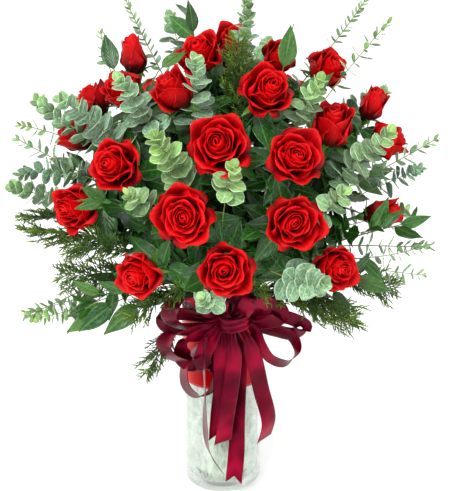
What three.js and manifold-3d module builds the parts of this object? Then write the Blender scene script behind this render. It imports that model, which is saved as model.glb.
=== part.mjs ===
// A vase of red roses with eucalyptus, ruscus and cedar, tied with a satin bow.
//
// A straight glass cylinder holds a sleeve of crinkled clear film. Every cut stem stands
// inside that sleeve, passes the rim near the middle and leans out to its place in a dome.
// A wide satin band wraps the top of the glass, and a looped ribbon bow with five
// hanging tails sits in front of it.
//
// Frame: millimetres, +Z up, the front of the bouquet faces -Y, and the origin is the centre
// of the vase's flat foot.
//
// Headings are degrees round +Z as seen from above: 0 faces the front (-Y), 90 faces +X.
// Lifts are degrees above the horizon.

import * as THREE from "three";
import { mergeVertices } from "three/addons/utils/BufferGeometryUtils.js";
import Module from "manifold-3d";

const wasm = await Module();
wasm.setup();

// ---------------------------------------------------------------- driving dimensions

const VASE = { radius: 60, height: 300, wall: 4, floor: 16, edge: 12, sides: 24 };
const GAP = 0.4; // left between touching pieces
const SLEEVE = { wall: 1.2, top: 292, sides: 24 };
const BAND = { bottom: 178, top: 296, wall: 1.0 };

const BLOOM_RADIUS = 41; // an open rose of size 1
const BLOOM_DEPTH = 38; // from the bloom's centre back to the foot of its calyx
const BLOOM_SIDES = 8;
const ROSE_STEM = { radius: 2.8, sides: 5 };
const SPRIG_STEM = { radius: 1.6, sides: 5 };
const FOOT_Z = VASE.floor + GAP + SLEEVE.wall + 0.6; // cut ends stand just off the sleeve's floor
const NECK_Z = 286; // every stem has a station at this height, just under the rim
const BUNDLE = { y: -3, radius: 41, spacing: 9.6 }; // the stems' centres as they pass the rim
const STEM_STEPS = 6; // above the neck

const KNOT = { at: [4, -82, 306], half: [20, 19.6, 12] };
const RIBBON = { width: 25, thickness: 1.0, pinch: 10, pinchLength: 45 };

// ---------------------------------------------------------------- the florist's plan

// at: the bloom's centre. face: [heading, lift] of the way the bloom looks.
// open runs from 0, a bud, to 1, full blown.
const ROSES = [
  { at: [-128, 17, 668], face: [-70, 78], size: 0.9, open: 0.1 },
  { at: [-142, -44, 631], face: [-55, 48], size: 0.95, open: 0.6 },
  { at: [-66, -104, 640], face: [-55, 52], size: 1.0, open: 0.45 },
  { at: [-31, -36, 680], face: [-25, 46], size: 0.95, open: 0.7 },
  { at: [18, 16, 690], face: [15, 55], size: 0.9, open: 0.6 },
  { at: [82, 8, 668], face: [35, 50], size: 0.85, open: 0.5 },
  { at: [60, -108, 640], face: [12, 36], size: 1.05, open: 0.75 },
  { at: [153, 14, 651], face: [40, 42], size: 0.95, open: 0.6 },
  { at: [153, -96, 591], face: [15, 62], size: 1.1, open: 0.4 },
  { at: [222, 22, 597], face: [60, 62], size: 0.85, open: 0.2 },
  { at: [240, -26, 553], face: [85, 25], size: 0.95, open: 0.5 },
  { at: [-4, -175, 580], face: [-8, 26], size: 1.12, open: 0.9 },
  { at: [97, -164, 563], face: [8, 30], size: 1.02, open: 0.85 },
  { at: [-145, -145, 544], face: [-24, 18], size: 1.0, open: 0.85 },
  { at: [-214, -20, 560], face: [-95, 30], size: 0.9, open: 0.5 },
  { at: [-190, 36, 604], face: [-100, 55], size: 0.85, open: 0.5 },
  { at: [-208, -103, 473], face: [-42, 6], size: 1.0, open: 0.75 },
  { at: [-52, -205, 490], face: [-8, 14], size: 1.05, open: 0.95 },
  { at: [97, -194, 479], face: [10, 14], size: 1.02, open: 0.9 },
  { at: [-112, -187, 403], face: [-32, -2], size: 0.98, open: 0.75 },
  { at: [4, -214, 418], face: [0, 4], size: 1.0, open: 0.85 },
  { at: [159, -157, 402], face: [34, 2], size: 0.95, open: 0.75 },
  { at: [232, -55, 453], face: [82, 12], size: 0.9, open: 0.2 },
  { at: [-112, 140, 585], face: [-145, 34], size: 1.0, open: 0.8 },
  { at: [104, 150, 590], face: [146, 34], size: 1.0, open: 0.85 },
  { at: [-6, 200, 505], face: [182, 14], size: 1.05, open: 0.9 },
  { at: [-172, 118, 458], face: [-126, 6], size: 0.98, open: 0.75 },
  { at: [170, 122, 462], face: [128, 6], size: 0.98, open: 0.8 },
  { at: [-2, 96, 664], face: [176, 58], size: 1.0, open: 0.7 },
];

// Sprigs: tip is where the sprig ends. rise is how far up its stem first climbs above the
// neck, as a share of the way to the tip. leaf is the largest leaf's length.
// bare is the share of the stem above the neck that carries no leaves.
const EUCALYPTUS = [
  { tip: [-136, 20, 744], rise: 0.6, sway: -30, leaf: 24, pairs: 5, bare: 0.5 },
  { tip: [36, -30, 748], rise: 0.5, leaf: 34, pairs: 5, bare: 0.5 },
  { tip: [204, 30, 744], rise: 0.6, sway: 45, leaf: 24, pairs: 5, bare: 0.55 },
  { tip: [-262, -30, 612], rise: 0.7, sway: 60, leaf: 42, pairs: 5, bare: 0.45 },
  { tip: [-292, -44, 560], rise: 0.35, leaf: 30, pairs: 5, bare: 0.5 },
  { tip: [-296, -70, 496], rise: 0.4, leaf: 36, pairs: 5, bare: 0.45 },
  { tip: [-284, -104, 314], rise: 0.55, leaf: 26, pairs: 5, bare: 0.45 },
  { tip: [300, -40, 556], rise: 0.4, sway: -45, leaf: 30, pairs: 5, bare: 0.45 },
  { tip: [300, -60, 404], rise: 0.45, leaf: 28, pairs: 5, bare: 0.45 },
  { tip: [140, -226, 402], rise: 0.6, leaf: 48, pairs: 5, bare: 0.55 },
  { tip: [-232, 190, 566], rise: 0.45, leaf: 36, pairs: 5, bare: 0.45 },
  { tip: [226, 204, 548], rise: 0.45, leaf: 36, pairs: 5, bare: 0.45 },
  { tip: [60, 262, 620], rise: 0.5, leaf: 34, pairs: 5, bare: 0.5 },
];

const RUSCUS = [
  { tip: [-216, -120, 322], rise: 0.7, leaf: 58, pairs: 4, bare: 0.4 },
  { tip: [292, -78, 452], rise: 0.3, sway: -30, leaf: 60, pairs: 4, bare: 0.5 },
  { tip: [-46, 10, 742], rise: 0.5, leaf: 60, pairs: 4, bare: 0.55 },
  { tip: [-60, 268, 440], rise: 0.55, leaf: 60, pairs: 5, bare: 0.4 },
];

const CEDAR = [
  { tip: [-274, -116, 446], rise: 0.4, leaf: 52, pairs: 5, bare: 0.5 },
  { tip: [22, -84, 706], rise: 0.5, leaf: 44, pairs: 5, bare: 0.55 },
  { tip: [176, -176, 330], rise: 0.55, sway: 15, leaf: 52, pairs: 5, bare: 0.5 },
  { tip: [120, 240, 400], rise: 0.6, leaf: 52, pairs: 5, bare: 0.45 },
];

// The ribbon's loops: each leaves the knot, passes these stations and comes back. across is
// the direction of the ribbon's width at the start, the middle and the end of the loop.
const LOOPS = [
  {
    through: [[-21, -92, 315], [-55, -100, 343], [-76, -102, 322], [-63, -100, 293], [-17, -92, 296]],
    across: [[0.2, -0.8, 0.5], [0.5, -0.8, 0.3], [0.2, -0.9, 0.3]],
  },
  {
    through: [[-17, -84, 292], [-70, -84, 288], [-86, -86, 270], [-77, -86, 249], [-28, -80, 253]],
    across: [[0, -0.7, 0.7], [0.7, -0.6, 0.2], [0.2, -0.6, 0.7]],
  },
  {
    through: [[-25, -74, 300], [-84, -68, 297], [-84, -68, 286], [-23, -74, 290]],
    across: [[0, -0.6, 0.8], [0.3, -0.6, 0.7], [0, -0.6, 0.8]],
  },
  {
    through: [[-13, -76, 280], [-50, -75, 240], [-54, -75, 192], [-37, -75, 176], [-12, -75, 200]],
    across: [[0.2, -0.9, 0.3], [0.2, -0.93, 0.3], [0.2, -0.93, 0.3]],
  },
  {
    through: [[-5, -100, 303], [3, -110, 305], [15, -110, 305], [24, -100, 303]],
    across: [[0, 0, 1], [0, 0.1, 1], [0, 0, 1]],
  },
  {
    through: [[2, -94, 322], [0, -97, 336], [10, -90, 338], [14, -84, 322]],
    across: [[0.9, -0.3, 0], [0.8, -0.5, 0], [0.9, -0.3, 0]],
  },
  {
    through: [[26, -94, 312], [40, -101, 336], [54, -100, 346], [60, -92, 330], [40, -84, 309]],
    across: [[0.5, -0.8, 0.3], [0.4, -0.8, 0.4], [0.6, -0.7, 0.3]],
  },
  {
    through: [[32, -88, 310], [62, -99, 330], [80, -99, 318], [60, -90, 299]],
    across: [[0.3, -0.6, 0.7], [0.3, -0.5, 0.8], [0.3, -0.6, 0.7]],
  },
  {
    through: [[40, -80, 303], [90, -88, 306], [118, -86, 292], [92, -82, 280], [53, -78, 292]],
    across: [[0, -0.6, 0.8], [0.4, -0.4, 0.8], [0, -0.7, 0.7]],
  },
  {
    through: [[44, -84, 288], [62, -88, 256], [90, -90, 238], [109, -88, 254], [92, -84, 280], [50, -80, 292]],
    across: [[0.3, -0.85, 0.4], [0.2, -0.85, 0.45], [0.2, -0.8, 0.5]],
  },
];

// The ribbon tails: the stations that a tail passes from the knot down, and the direction of
// the ribbon's width at its top and at its end.
const TAILS = [
  {
    through: [[0, -93, 290], [-1, -93, 244], [-1, -93, 192], [-5, -92, 153], [-8, -90, 107]],
    across: [[1, 0, 0], [1, -0.1, 0.1]],
  },
  {
    through: [[14, -97, 290], [17, -98, 241], [12, -98, 193], [6, -97, 152], [0, -95, 104]],
    across: [[0.9, 0.3, 0], [0.9, 0.2, 0.2]],
  },
  {
    through: [[18, -80, 290], [27, -77, 234], [24, -78, 178], [22, -82, 131], [21, -85, 85], [17, -87, 35]],
    across: [[0.7, -0.65, 0], [1, -0.15, 0]],
  },
  {
    through: [[27, -93, 290], [38, -93, 272], [48, -86, 234], [58, -78, 186], [70, -72, 132], [62, -66, 94]],
    across: [[1, 0.1, 0.2], [0.8, 0.5, 0.2]],
  },
  {
    through: [[-23, -104, 284], [-27, -102, 244], [-26, -100, 185], [-25, -99, 139], [-20, -99, 98], [3, -97, 54]],
    across: [[0.1, -1, 0], [0.3, -0.95, 0.1]],
  },
];

// ---------------------------------------------------------------- small helpers

const vec = (a) => new THREE.Vector3(...a);

const facing = ([heading, lift]) => {
  const h = THREE.MathUtils.degToRad(heading);
  const l = THREE.MathUtils.degToRad(lift);
  return new THREE.Vector3(Math.sin(h) * Math.cos(l), -Math.cos(h) * Math.cos(l), Math.sin(l));
};

/** A closed geometry as a manifold-3d solid. */
function solidOf(geometry) {
  const bare = geometry.clone();
  for (const name of Object.keys(bare.attributes)) {
    if (name !== "position") bare.deleteAttribute(name);
  }
  const merged = mergeVertices(bare, 1e-4);
  return new wasm.Manifold(
    new wasm.Mesh({
      numProp: 3,
      vertProperties: merged.attributes.position.array,
      triVerts: new Uint32Array(merged.index.array),
    }),
  );
}

/** A manifold-3d solid as a three.js geometry with flat normals. */
function geometryOf(solid) {
  const mesh = solid.getMesh();
  const geometry = new THREE.BufferGeometry();
  geometry.setAttribute("position", new THREE.BufferAttribute(mesh.vertProperties, 3));
  geometry.setIndex(new THREE.BufferAttribute(mesh.triVerts, 1));
  geometry.computeVertexNormals();
  return geometry;
}

/** A named mesh whose own origin is a meaningful point of the piece. */
function node(name, solid, origin, material) {
  const local = solid.translate([-origin.x, -origin.y, -origin.z]);
  const mesh = new THREE.Mesh(geometryOf(local), material);
  mesh.name = name;
  mesh.position.copy(origin);
  return mesh;
}

/** A closed surface turned about +Z from [radius, height] points. */
function turned(profile, sides) {
  const points = profile.map(([r, z]) => new THREE.Vector2(r, z));
  return new THREE.LatheGeometry(points, sides).rotateX(Math.PI / 2);
}

/** A flat strip of ribbon through a row of stations {p, across, width}. */
function strip(stations, thickness) {
  const corners = [];
  stations.forEach(({ p, across, width }, i) => {
    const before = stations[Math.max(i - 1, 0)].p;
    const after = stations[Math.min(i + 1, stations.length - 1)].p;
    const along = after.clone().sub(before).normalize();
    const side = across.clone().addScaledVector(along, -across.dot(along)).normalize();
    const face = along.clone().cross(side);
    for (const [s, f] of [[1, 1], [-1, 1], [-1, -1], [1, -1]]) {
      const corner = p.clone().addScaledVector(side, (s * width) / 2);
      corners.push(...corner.addScaledVector(face, (f * thickness) / 2).toArray());
    }
  });
  const faces = [0, 2, 1, 0, 3, 2];
  for (let i = 0; i < stations.length - 1; i += 1) {
    for (let k = 0; k < 4; k += 1) {
      const a = 4 * i + k;
      const b = 4 * i + ((k + 1) % 4);
      faces.push(a, b, b + 4, a, b + 4, a + 4);
    }
  }
  const last = 4 * (stations.length - 1);
  faces.push(last, last + 1, last + 2, last, last + 2, last + 3);
  const geometry = new THREE.BufferGeometry();
  geometry.setAttribute("position", new THREE.Float32BufferAttribute(corners, 3));
  geometry.setIndex(faces);
  return geometry;
}

/** A leaf as a thin lens: an outline of [along, aside] points with a domed middle. */
function leafSolid(foot, along, aside, outline, thickness) {
  const face = along.clone().cross(aside).normalize();
  const middle = foot.clone();
  const rim = outline.map(([u, v]) => foot.clone().addScaledVector(along, u).addScaledVector(aside, v));
  rim.forEach((p) => middle.addScaledVector(p.clone().sub(foot), 1 / rim.length));
  const points = [...rim, middle.clone().addScaledVector(face, thickness / 2)];
  points.push(middle.clone().addScaledVector(face, -thickness / 2));
  const top = rim.length;
  const faces = [];
  rim.forEach((_, i) => {
    const next = (i + 1) % rim.length;
    faces.push(i, next, top, next, i, top + 1);
  });
  const geometry = new THREE.BufferGeometry();
  const numbers = points.flatMap((p) => p.toArray());
  geometry.setAttribute("position", new THREE.Float32BufferAttribute(numbers, 3));
  geometry.setIndex(faces);
  return solidOf(geometry);
}

// ---------------------------------------------------------------- materials

const MATERIALS = {
  glass: new THREE.MeshStandardMaterial({ color: "#dfeee6", roughness: 0.08, metalness: 0 }),
  film: new THREE.MeshStandardMaterial({ color: "#e6eee9", roughness: 0.35, metalness: 0 }),
  redSatin: new THREE.MeshStandardMaterial({ color: "#e01030", roughness: 0.35, metalness: 0 }),
  wineSatin: new THREE.MeshStandardMaterial({ color: "#860f35", roughness: 0.35, metalness: 0 }),
  rose: new THREE.MeshStandardMaterial({ color: "#c4060c", roughness: 0.6, metalness: 0 }),
  eucalyptus: new THREE.MeshStandardMaterial({ color: "#8fb79a", roughness: 0.65, metalness: 0 }),
  ruscus: new THREE.MeshStandardMaterial({ color: "#2f6b24", roughness: 0.4, metalness: 0 }),
  cedar: new THREE.MeshStandardMaterial({ color: "#3c6420", roughness: 0.7, metalness: 0 }),
};

// ---------------------------------------------------------------- vase, sleeve and band

function vaseSolid() {
  const { radius, height, wall, floor, edge, sides } = VASE;
  const profile = [[0, 0]];
  const turns = 4;
  for (let i = 0; i <= turns; i += 1) {
    const a = (Math.PI / 2) * (i / turns);
    profile.push([radius - edge + edge * Math.sin(a), edge - edge * Math.cos(a)]);
  }
  profile.push([radius, height], [radius - wall, height]);
  profile.push([radius - wall, floor], [0, floor]);
  return solidOf(turned(profile, sides));
}

function sleeveSolid() {
  const outer = (VASE.radius - VASE.wall) * Math.cos(Math.PI / VASE.sides) - GAP;
  const inner = outer - SLEEVE.wall;
  const bottom = VASE.floor + GAP;
  const profile = [[0, bottom], [outer, bottom], [outer, SLEEVE.top], [inner, SLEEVE.top]];
  profile.push([inner, bottom + SLEEVE.wall], [0, bottom + SLEEVE.wall]);
  return solidOf(turned(profile, SLEEVE.sides));
}

function bandSolid() {
  const inner = (VASE.radius + GAP) / Math.cos(Math.PI / VASE.sides);
  const outer = inner + BAND.wall;
  const profile = [[inner, BAND.bottom], [outer, BAND.bottom], [outer, BAND.top]];
  profile.push([inner, BAND.top], [inner, BAND.bottom]);
  return solidOf(turned(profile, VASE.sides));
}

// ---------------------------------------------------------------- bow and tails

/** The direction of a ribbon's width at t, between the few directions that its plan states. */
function widthAt(across, t) {
  const place = t * (across.length - 1);
  const i = Math.min(Math.floor(place), across.length - 2);
  return vec(across[i]).lerp(vec(across[i + 1]), place - i).normalize();
}

/** A ribbon strip through its plan's stations, drawn in narrow near the ends that the knot holds. */
function ribbonSolid(stations, across, steps, heldEnds) {
  const curve = new THREE.CatmullRomCurve3(stations.map(vec), false, "centripetal");
  const length = curve.getLength();
  const rows = [];
  for (let i = 0; i <= steps; i += 1) {
    const t = i / steps;
    const fromKnot = heldEnds === 2 ? Math.min(t, 1 - t) * length : t * length;
    const fullness = Math.min(1, fromKnot / RIBBON.pinchLength);
    const width = THREE.MathUtils.lerp(RIBBON.pinch, RIBBON.width, fullness);
    rows.push({ p: curve.getPointAt(t), across: widthAt(across, t), width });
  }
  return solidOf(strip(rows, RIBBON.thickness));
}

/** The bow: one ribbon, whose loops meet in its gathered knot. */
function bowSolid() {
  const knot = new THREE.IcosahedronGeometry(1, 1).scale(...KNOT.half).translate(...KNOT.at);
  const steps = 9;
  const root = 0.56; // how far from the knot's centre towards its loop a held end sits
  const heldEnd = (station) => vec(KNOT.at).lerp(vec(station), root).toArray();
  const bow = LOOPS.reduce((joined, { through, across }) => {
    const stations = [heldEnd(through[0]), ...through, heldEnd(through.at(-1))];
    return joined.add(ribbonSolid(stations, across, steps, 2));
  }, solidOf(knot));
  const bodies = bow.decompose().sort((a, b) => b.volume() - a.volume());
  return bodies[0]; // the rest are crumbs cut off between the folds inside the knot
}

function tailSolid({ through, across }) {
  const steps = 8;
  return ribbonSolid(through, across, steps, 1);
}

// ---------------------------------------------------------------- stems

/** Neck points for all stems: each starts under its own lean, then they part until none touch. */
function settleNeck(ends) {
  const rim = new THREE.Vector3(0, 0, NECK_Z);
  const necks = ends.map((end) => {
    const way = end.clone().sub(rim);
    const lean = Math.acos(way.z / way.length()) / (Math.PI / 2);
    const r = BUNDLE.radius * Math.min(1, lean ** 0.7);
    return new THREE.Vector2(way.x, way.y).setLength(r);
  });
  const rounds = 400;
  for (let round = 0; round < rounds; round += 1) {
    necks.forEach((a, i) => {
      necks.slice(i + 1).forEach((b) => {
        const apart = b.clone().sub(a);
        const short = BUNDLE.spacing - apart.length();
        if (short <= 0) return;
        apart.setLength(short / 2);
        a.sub(apart);
        b.add(apart);
      });
      a.clampLength(0, BUNDLE.radius);
    });
  }
  return necks.map(({ x, y }) => new THREE.Vector3(x, y + BUNDLE.y, NECK_Z));
}

/** A stem's centre line: upright in the vase, then one smooth bend to its end. */
function stemCurves({ neck, end, arrive, rise, sway }) {
  const foot = new THREE.Vector3(neck.x, neck.y, FOOT_Z);
  const span = end.distanceTo(neck);
  const first = new THREE.Vector3(neck.x * 1.5, neck.y * 1.5, neck.z + span * rise);
  const second = end.clone().addScaledVector(arrive, -span * 0.35);
  const sideways = new THREE.Vector3(neck.y - end.y, end.x - neck.x, 0).normalize();
  first.addScaledVector(sideways, sway * 0.6);
  second.addScaledVector(sideways, sway);
  const bend = new THREE.CubicBezierCurve3(neck, first, second, end);
  return { foot, above: bend.getSpacedPoints(STEM_STEPS) };
}

/** One tube through both stretches of a stem, with a station at the neck. */
function stemSolid({ foot, above }, { radius, sides }) {
  const centres = [foot, ...above];
  const points = [];
  const side = new THREE.Vector3(1, 0, 0);
  centres.forEach((p, i) => {
    const before = centres[Math.max(i - 1, 0)];
    const after = centres[Math.min(i + 1, centres.length - 1)];
    const along = after.clone().sub(before).normalize();
    side.addScaledVector(along, -side.dot(along)).normalize();
    const other = along.clone().cross(side);
    for (let k = 0; k < sides; k += 1) {
      const a = (2 * Math.PI * k) / sides;
      const q = p.clone().addScaledVector(side, radius * Math.cos(a));
      points.push(...q.addScaledVector(other, radius * Math.sin(a)).toArray());
    }
  });
  const faces = [];
  for (let i = 0; i < centres.length - 1; i += 1) {
    for (let k = 0; k < sides; k += 1) {
      const a = i * sides + k;
      const b = i * sides + ((k + 1) % sides);
      faces.push(a, b, b + sides, a, b + sides, a + sides);
    }
  }
  const last = (centres.length - 1) * sides;
  for (let k = 1; k < sides - 1; k += 1) {
    faces.push(0, k + 1, k, last, last + k, last + k + 1);
  }
  const geometry = new THREE.BufferGeometry();
  geometry.setAttribute("position", new THREE.Float32BufferAttribute(points, 3));
  geometry.setIndex(faces);
  return solidOf(geometry);
}

// ---------------------------------------------------------------- roses

/** The bloom's outer shape: a calyx, a cup of petals and the coiled heart inside it. */
function bloomSolid({ at, face, size, open }) {
  const rim = THREE.MathUtils.lerp(0.52, 1, open) * BLOOM_RADIUS;
  const top = THREE.MathUtils.lerp(24, 9, open);
  const profile = [
    [0, -BLOOM_DEPTH],
    [8, -BLOOM_DEPTH + 3],
    [rim * 0.66, -BLOOM_DEPTH * 0.55],
    [rim * 0.95, -BLOOM_DEPTH * 0.1],
    [rim, top],
    [rim * 0.7, top + 2],
    [rim * 0.42, top - 3],
    [0, top + 3],
  ];
  const scaled = profile.map(([r, z]) => [r * size, z * size]);
  const turn = new THREE.Quaternion().setFromUnitVectors(new THREE.Vector3(0, 0, 1), facing(face));
  return solidOf(turned(scaled, BLOOM_SIDES).applyQuaternion(turn).translate(...at));
}

const calyx = ({ at, face, size }) => vec(at).addScaledVector(facing(face), -BLOOM_DEPTH * size);

// ---------------------------------------------------------------- sprigs

const LAST_LEAF = 0.985; // the last pair's share of the way up the stem

/** Leaf pairs up a sprig, each pair a quarter turn round from the last. */
function sprigLeaves(stations, { leaf, pairs, bare }, outlineOf, tilt) {
  const stem = new THREE.CurvePath();
  stations.slice(1).forEach((p, i) => stem.add(new THREE.LineCurve3(stations[i], p)));
  const leaves = [];
  for (let i = 0; i < pairs; i += 1) {
    const up = i / (pairs - 1);
    const t = THREE.MathUtils.lerp(bare, LAST_LEAF, up);
    const foot = stem.getPointAt(t);
    const along = stem.getTangentAt(t);
    const sideways = new THREE.Vector3(0, 0, 1).cross(along).normalize();
    sideways.applyAxisAngle(along, (i % 2) * (Math.PI / 2) + Math.PI / 4);
    const size = leaf * (1 - 0.62 * up);
    for (const hand of [1, -1]) {
      const out = sideways.clone().multiplyScalar(hand);
      out.addScaledVector(along, tilt).normalize();
      const aside = along.clone().cross(sideways).normalize();
      leaves.push(leafSolid(foot, out, aside, outlineOf(size), 1.4));
    }
  }
  return leaves;
}

const roundLeaf = (s) => [[0.5, 0], [s * 0.5, -s * 0.45], [s, 0], [s * 0.5, s * 0.45]];
const longLeaf = (s) => [[0.5, 0], [s * 0.45, -s * 0.19], [s, 0], [s * 0.45, s * 0.19]];
const frond = (s) => [[0.5, 0], [s * 0.35, -s * 0.22], [s, 0], [s * 0.35, s * 0.22]];

const KINDS = [
  { name: "eucalyptus", plan: EUCALYPTUS, outline: roundLeaf, tilt: 0.35 },
  { name: "ruscus", plan: RUSCUS, outline: longLeaf, tilt: 0.8 },
  { name: "cedar", plan: CEDAR, outline: frond, tilt: 1.1 },
];

/** The leaves that stand clear of every other piece, joined to their stem. */
function leafedOut(stem, leaves, others) {
  let sprig = stem;
  for (const leaf of leaves) {
    const clear = others.every((other) => leaf.minGap(other, 1) > GAP / 2);
    if (clear) sprig = sprig.add(leaf);
  }
  return sprig;
}

// ---------------------------------------------------------------- the bouquet

const twoDigits = (i) => String(i + 1).padStart(2, "0");

const stems = [
  ...ROSES.map((rose, i) => ({
    name: `rose_${twoDigits(i)}`,
    end: calyx(rose).addScaledVector(facing(rose.face), 4),
    arrive: facing(rose.face),
    rise: 0.3,
    sway: rose.sway ?? 0,
    section: ROSE_STEM,
    material: MATERIALS.rose,
    rose,
  })),
  ...KINDS.flatMap((kind) =>
    kind.plan.map((sprig, i) => {
      const end = vec(sprig.tip);
      const out = end.clone().sub(new THREE.Vector3(0, 0, NECK_Z + 90)).normalize();
      return {
        name: `${kind.name}_${twoDigits(i)}`,
        end,
        arrive: out,
        rise: sprig.rise,
        sway: sprig.sway ?? 0,
        section: SPRIG_STEM,
        material: MATERIALS[kind.name],
        sprig,
        kind,
      };
    }),
  ),
];

settleNeck(stems.map((stem) => stem.end)).forEach((neck, i) => {
  const stem = stems[i];
  stem.neck = neck;
  stem.path = stemCurves(stem);
  stem.solid = stemSolid(stem.path, stem.section);
  if (stem.rose) stem.solid = stem.solid.add(bloomSolid(stem.rose));
});

const vase = vaseSolid();
const sleeve = sleeveSolid();
const band = bandSolid();
const bow = bowSolid();
const tails = TAILS.map(tailSolid);

for (const stem of stems.filter((s) => s.sprig)) {
  const others = [vase, sleeve, band, bow, ...tails, ...stems.filter((s) => s !== stem).map((s) => s.solid)];
  const leaves = sprigLeaves(stem.path.above, stem.sprig, stem.kind.outline, stem.kind.tilt);
  stem.solid = leafedOut(stem.solid, leaves, others);
}

// ---------------------------------------------------------------- the scene graph

const ORIGIN = new THREE.Vector3();

const holder = new THREE.Group();
holder.add(
  node("vase", vase, ORIGIN, MATERIALS.glass),
  node("film_sleeve", sleeve, ORIGIN, MATERIALS.film),
  node("satin_band", band, ORIGIN, MATERIALS.redSatin),
);

const bowGroup = new THREE.Group();
bowGroup.add(node("bow_ribbon", bow, vec(KNOT.at), MATERIALS.wineSatin));
tails.forEach((tail, i) => {
  bowGroup.add(node(`ribbon_tail_${i + 1}`, tail, vec(TAILS[i].through[0]), MATERIALS.wineSatin));
});

const flowers = new THREE.Group();
for (const stem of stems) flowers.add(node(stem.name, stem.solid, stem.neck, stem.material));

const bouquet = new THREE.Group();
bouquet.name = "roses_in_a_vase";
bouquet.add(holder, bowGroup, flowers);

export default bouquet;
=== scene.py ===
"""A vase of red roses with eucalyptus, ruscus and cedar, tied with a satin bow.

Everything is in millimetres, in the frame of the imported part: +Z up, the front
faces -Y and the origin is the centre of the vase's foot. Meshes are made in metres.

Headings are degrees round +Z as seen from above: 0 faces the front, 90 faces +X.
Lifts are degrees above the horizon.
"""

import math

import bpy
import numpy as np
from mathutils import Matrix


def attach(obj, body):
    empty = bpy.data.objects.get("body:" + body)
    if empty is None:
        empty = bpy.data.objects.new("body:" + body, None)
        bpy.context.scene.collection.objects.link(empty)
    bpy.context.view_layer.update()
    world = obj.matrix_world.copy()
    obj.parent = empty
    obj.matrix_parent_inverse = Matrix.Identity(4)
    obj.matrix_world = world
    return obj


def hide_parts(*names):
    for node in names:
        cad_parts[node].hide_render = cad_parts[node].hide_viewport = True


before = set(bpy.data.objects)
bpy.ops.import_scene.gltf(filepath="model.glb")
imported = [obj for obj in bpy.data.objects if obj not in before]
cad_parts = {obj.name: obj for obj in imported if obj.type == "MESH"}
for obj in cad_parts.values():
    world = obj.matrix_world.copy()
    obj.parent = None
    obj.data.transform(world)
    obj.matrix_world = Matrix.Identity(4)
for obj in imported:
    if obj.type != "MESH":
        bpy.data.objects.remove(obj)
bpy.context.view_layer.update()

MM = 0.001

# ---------------------------------------------------------------- the florist's plan

VASE = {"radius": 60, "height": 300, "wall": 4, "floor": 16, "edge": 12}
FILM = {"inner": 51, "outer": 55.4, "bottom": 18.6, "top": 293}
BAND = {"radius": 60.9, "bottom": 178, "top": 296}
BLOOM_RADIUS = 41  # an open rose of size 1
BLOOM_DEPTH = 38  # from the bloom's centre back to the foot of its calyx
FOOT_Z = 18.2  # where the cut ends stand
NECK_Z = 286  # the height at which the stems pass the rim
BUNDLE = {"y": -3, "radius": 41, "spacing": 9.6}
KNOT = [4, -82, 306]
RIBBON = {"width": 25, "pinch": 10, "gathered": 45, "thickness": 0.5}
HEART_OF_BOUQUET = [0, 0, 400]  # leaves turn their faces away from here

# at: the bloom's centre. face: [heading, lift] of the way the bloom looks.
# open runs from 0, a bud, to 1, full blown.
ROSES = [
    {"at": [-128, 17, 668], "face": [-70, 78], "size": 0.9, "open": 0.1},
    {"at": [-142, -44, 631], "face": [-55, 48], "size": 0.95, "open": 0.6},
    {"at": [-66, -104, 640], "face": [-55, 52], "size": 1.0, "open": 0.45},
    {"at": [-31, -36, 680], "face": [-25, 46], "size": 0.95, "open": 0.7},
    {"at": [18, 16, 690], "face": [15, 55], "size": 0.9, "open": 0.6},
    {"at": [82, 8, 668], "face": [35, 50], "size": 0.85, "open": 0.5},
    {"at": [60, -108, 640], "face": [12, 36], "size": 1.05, "open": 0.75},
    {"at": [153, 14, 651], "face": [40, 42], "size": 0.95, "open": 0.6},
    {"at": [153, -96, 591], "face": [15, 62], "size": 1.1, "open": 0.4},
    {"at": [222, 22, 597], "face": [60, 62], "size": 0.85, "open": 0.2},
    {"at": [240, -26, 553], "face": [85, 25], "size": 0.95, "open": 0.5},
    {"at": [-4, -175, 580], "face": [-8, 26], "size": 1.12, "open": 0.9},
    {"at": [97, -164, 563], "face": [8, 30], "size": 1.02, "open": 0.85},
    {"at": [-145, -145, 544], "face": [-24, 18], "size": 1.0, "open": 0.85},
    {"at": [-214, -20, 560], "face": [-95, 30], "size": 0.9, "open": 0.5},
    {"at": [-190, 36, 604], "face": [-100, 55], "size": 0.85, "open": 0.5},
    {"at": [-208, -103, 473], "face": [-42, 6], "size": 1.0, "open": 0.75},
    {"at": [-52, -205, 490], "face": [-8, 14], "size": 1.05, "open": 0.95},
    {"at": [97, -194, 479], "face": [10, 14], "size": 1.02, "open": 0.9},
    {"at": [-112, -187, 403], "face": [-32, -2], "size": 0.98, "open": 0.75},
    {"at": [4, -214, 418], "face": [0, 4], "size": 1.0, "open": 0.85},
    {"at": [159, -157, 402], "face": [34, 2], "size": 0.95, "open": 0.75},
    {"at": [232, -55, 453], "face": [82, 12], "size": 0.9, "open": 0.2},
    {"at": [-112, 140, 585], "face": [-145, 34], "size": 1.0, "open": 0.8},
    {"at": [104, 150, 590], "face": [146, 34], "size": 1.0, "open": 0.85},
    {"at": [-6, 200, 505], "face": [182, 14], "size": 1.05, "open": 0.9},
    {"at": [-172, 118, 458], "face": [-126, 6], "size": 0.98, "open": 0.75},
    {"at": [170, 122, 462], "face": [128, 6], "size": 0.98, "open": 0.8},
    {"at": [-2, 96, 664], "face": [176, 58], "size": 1.0, "open": 0.7},
]

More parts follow.
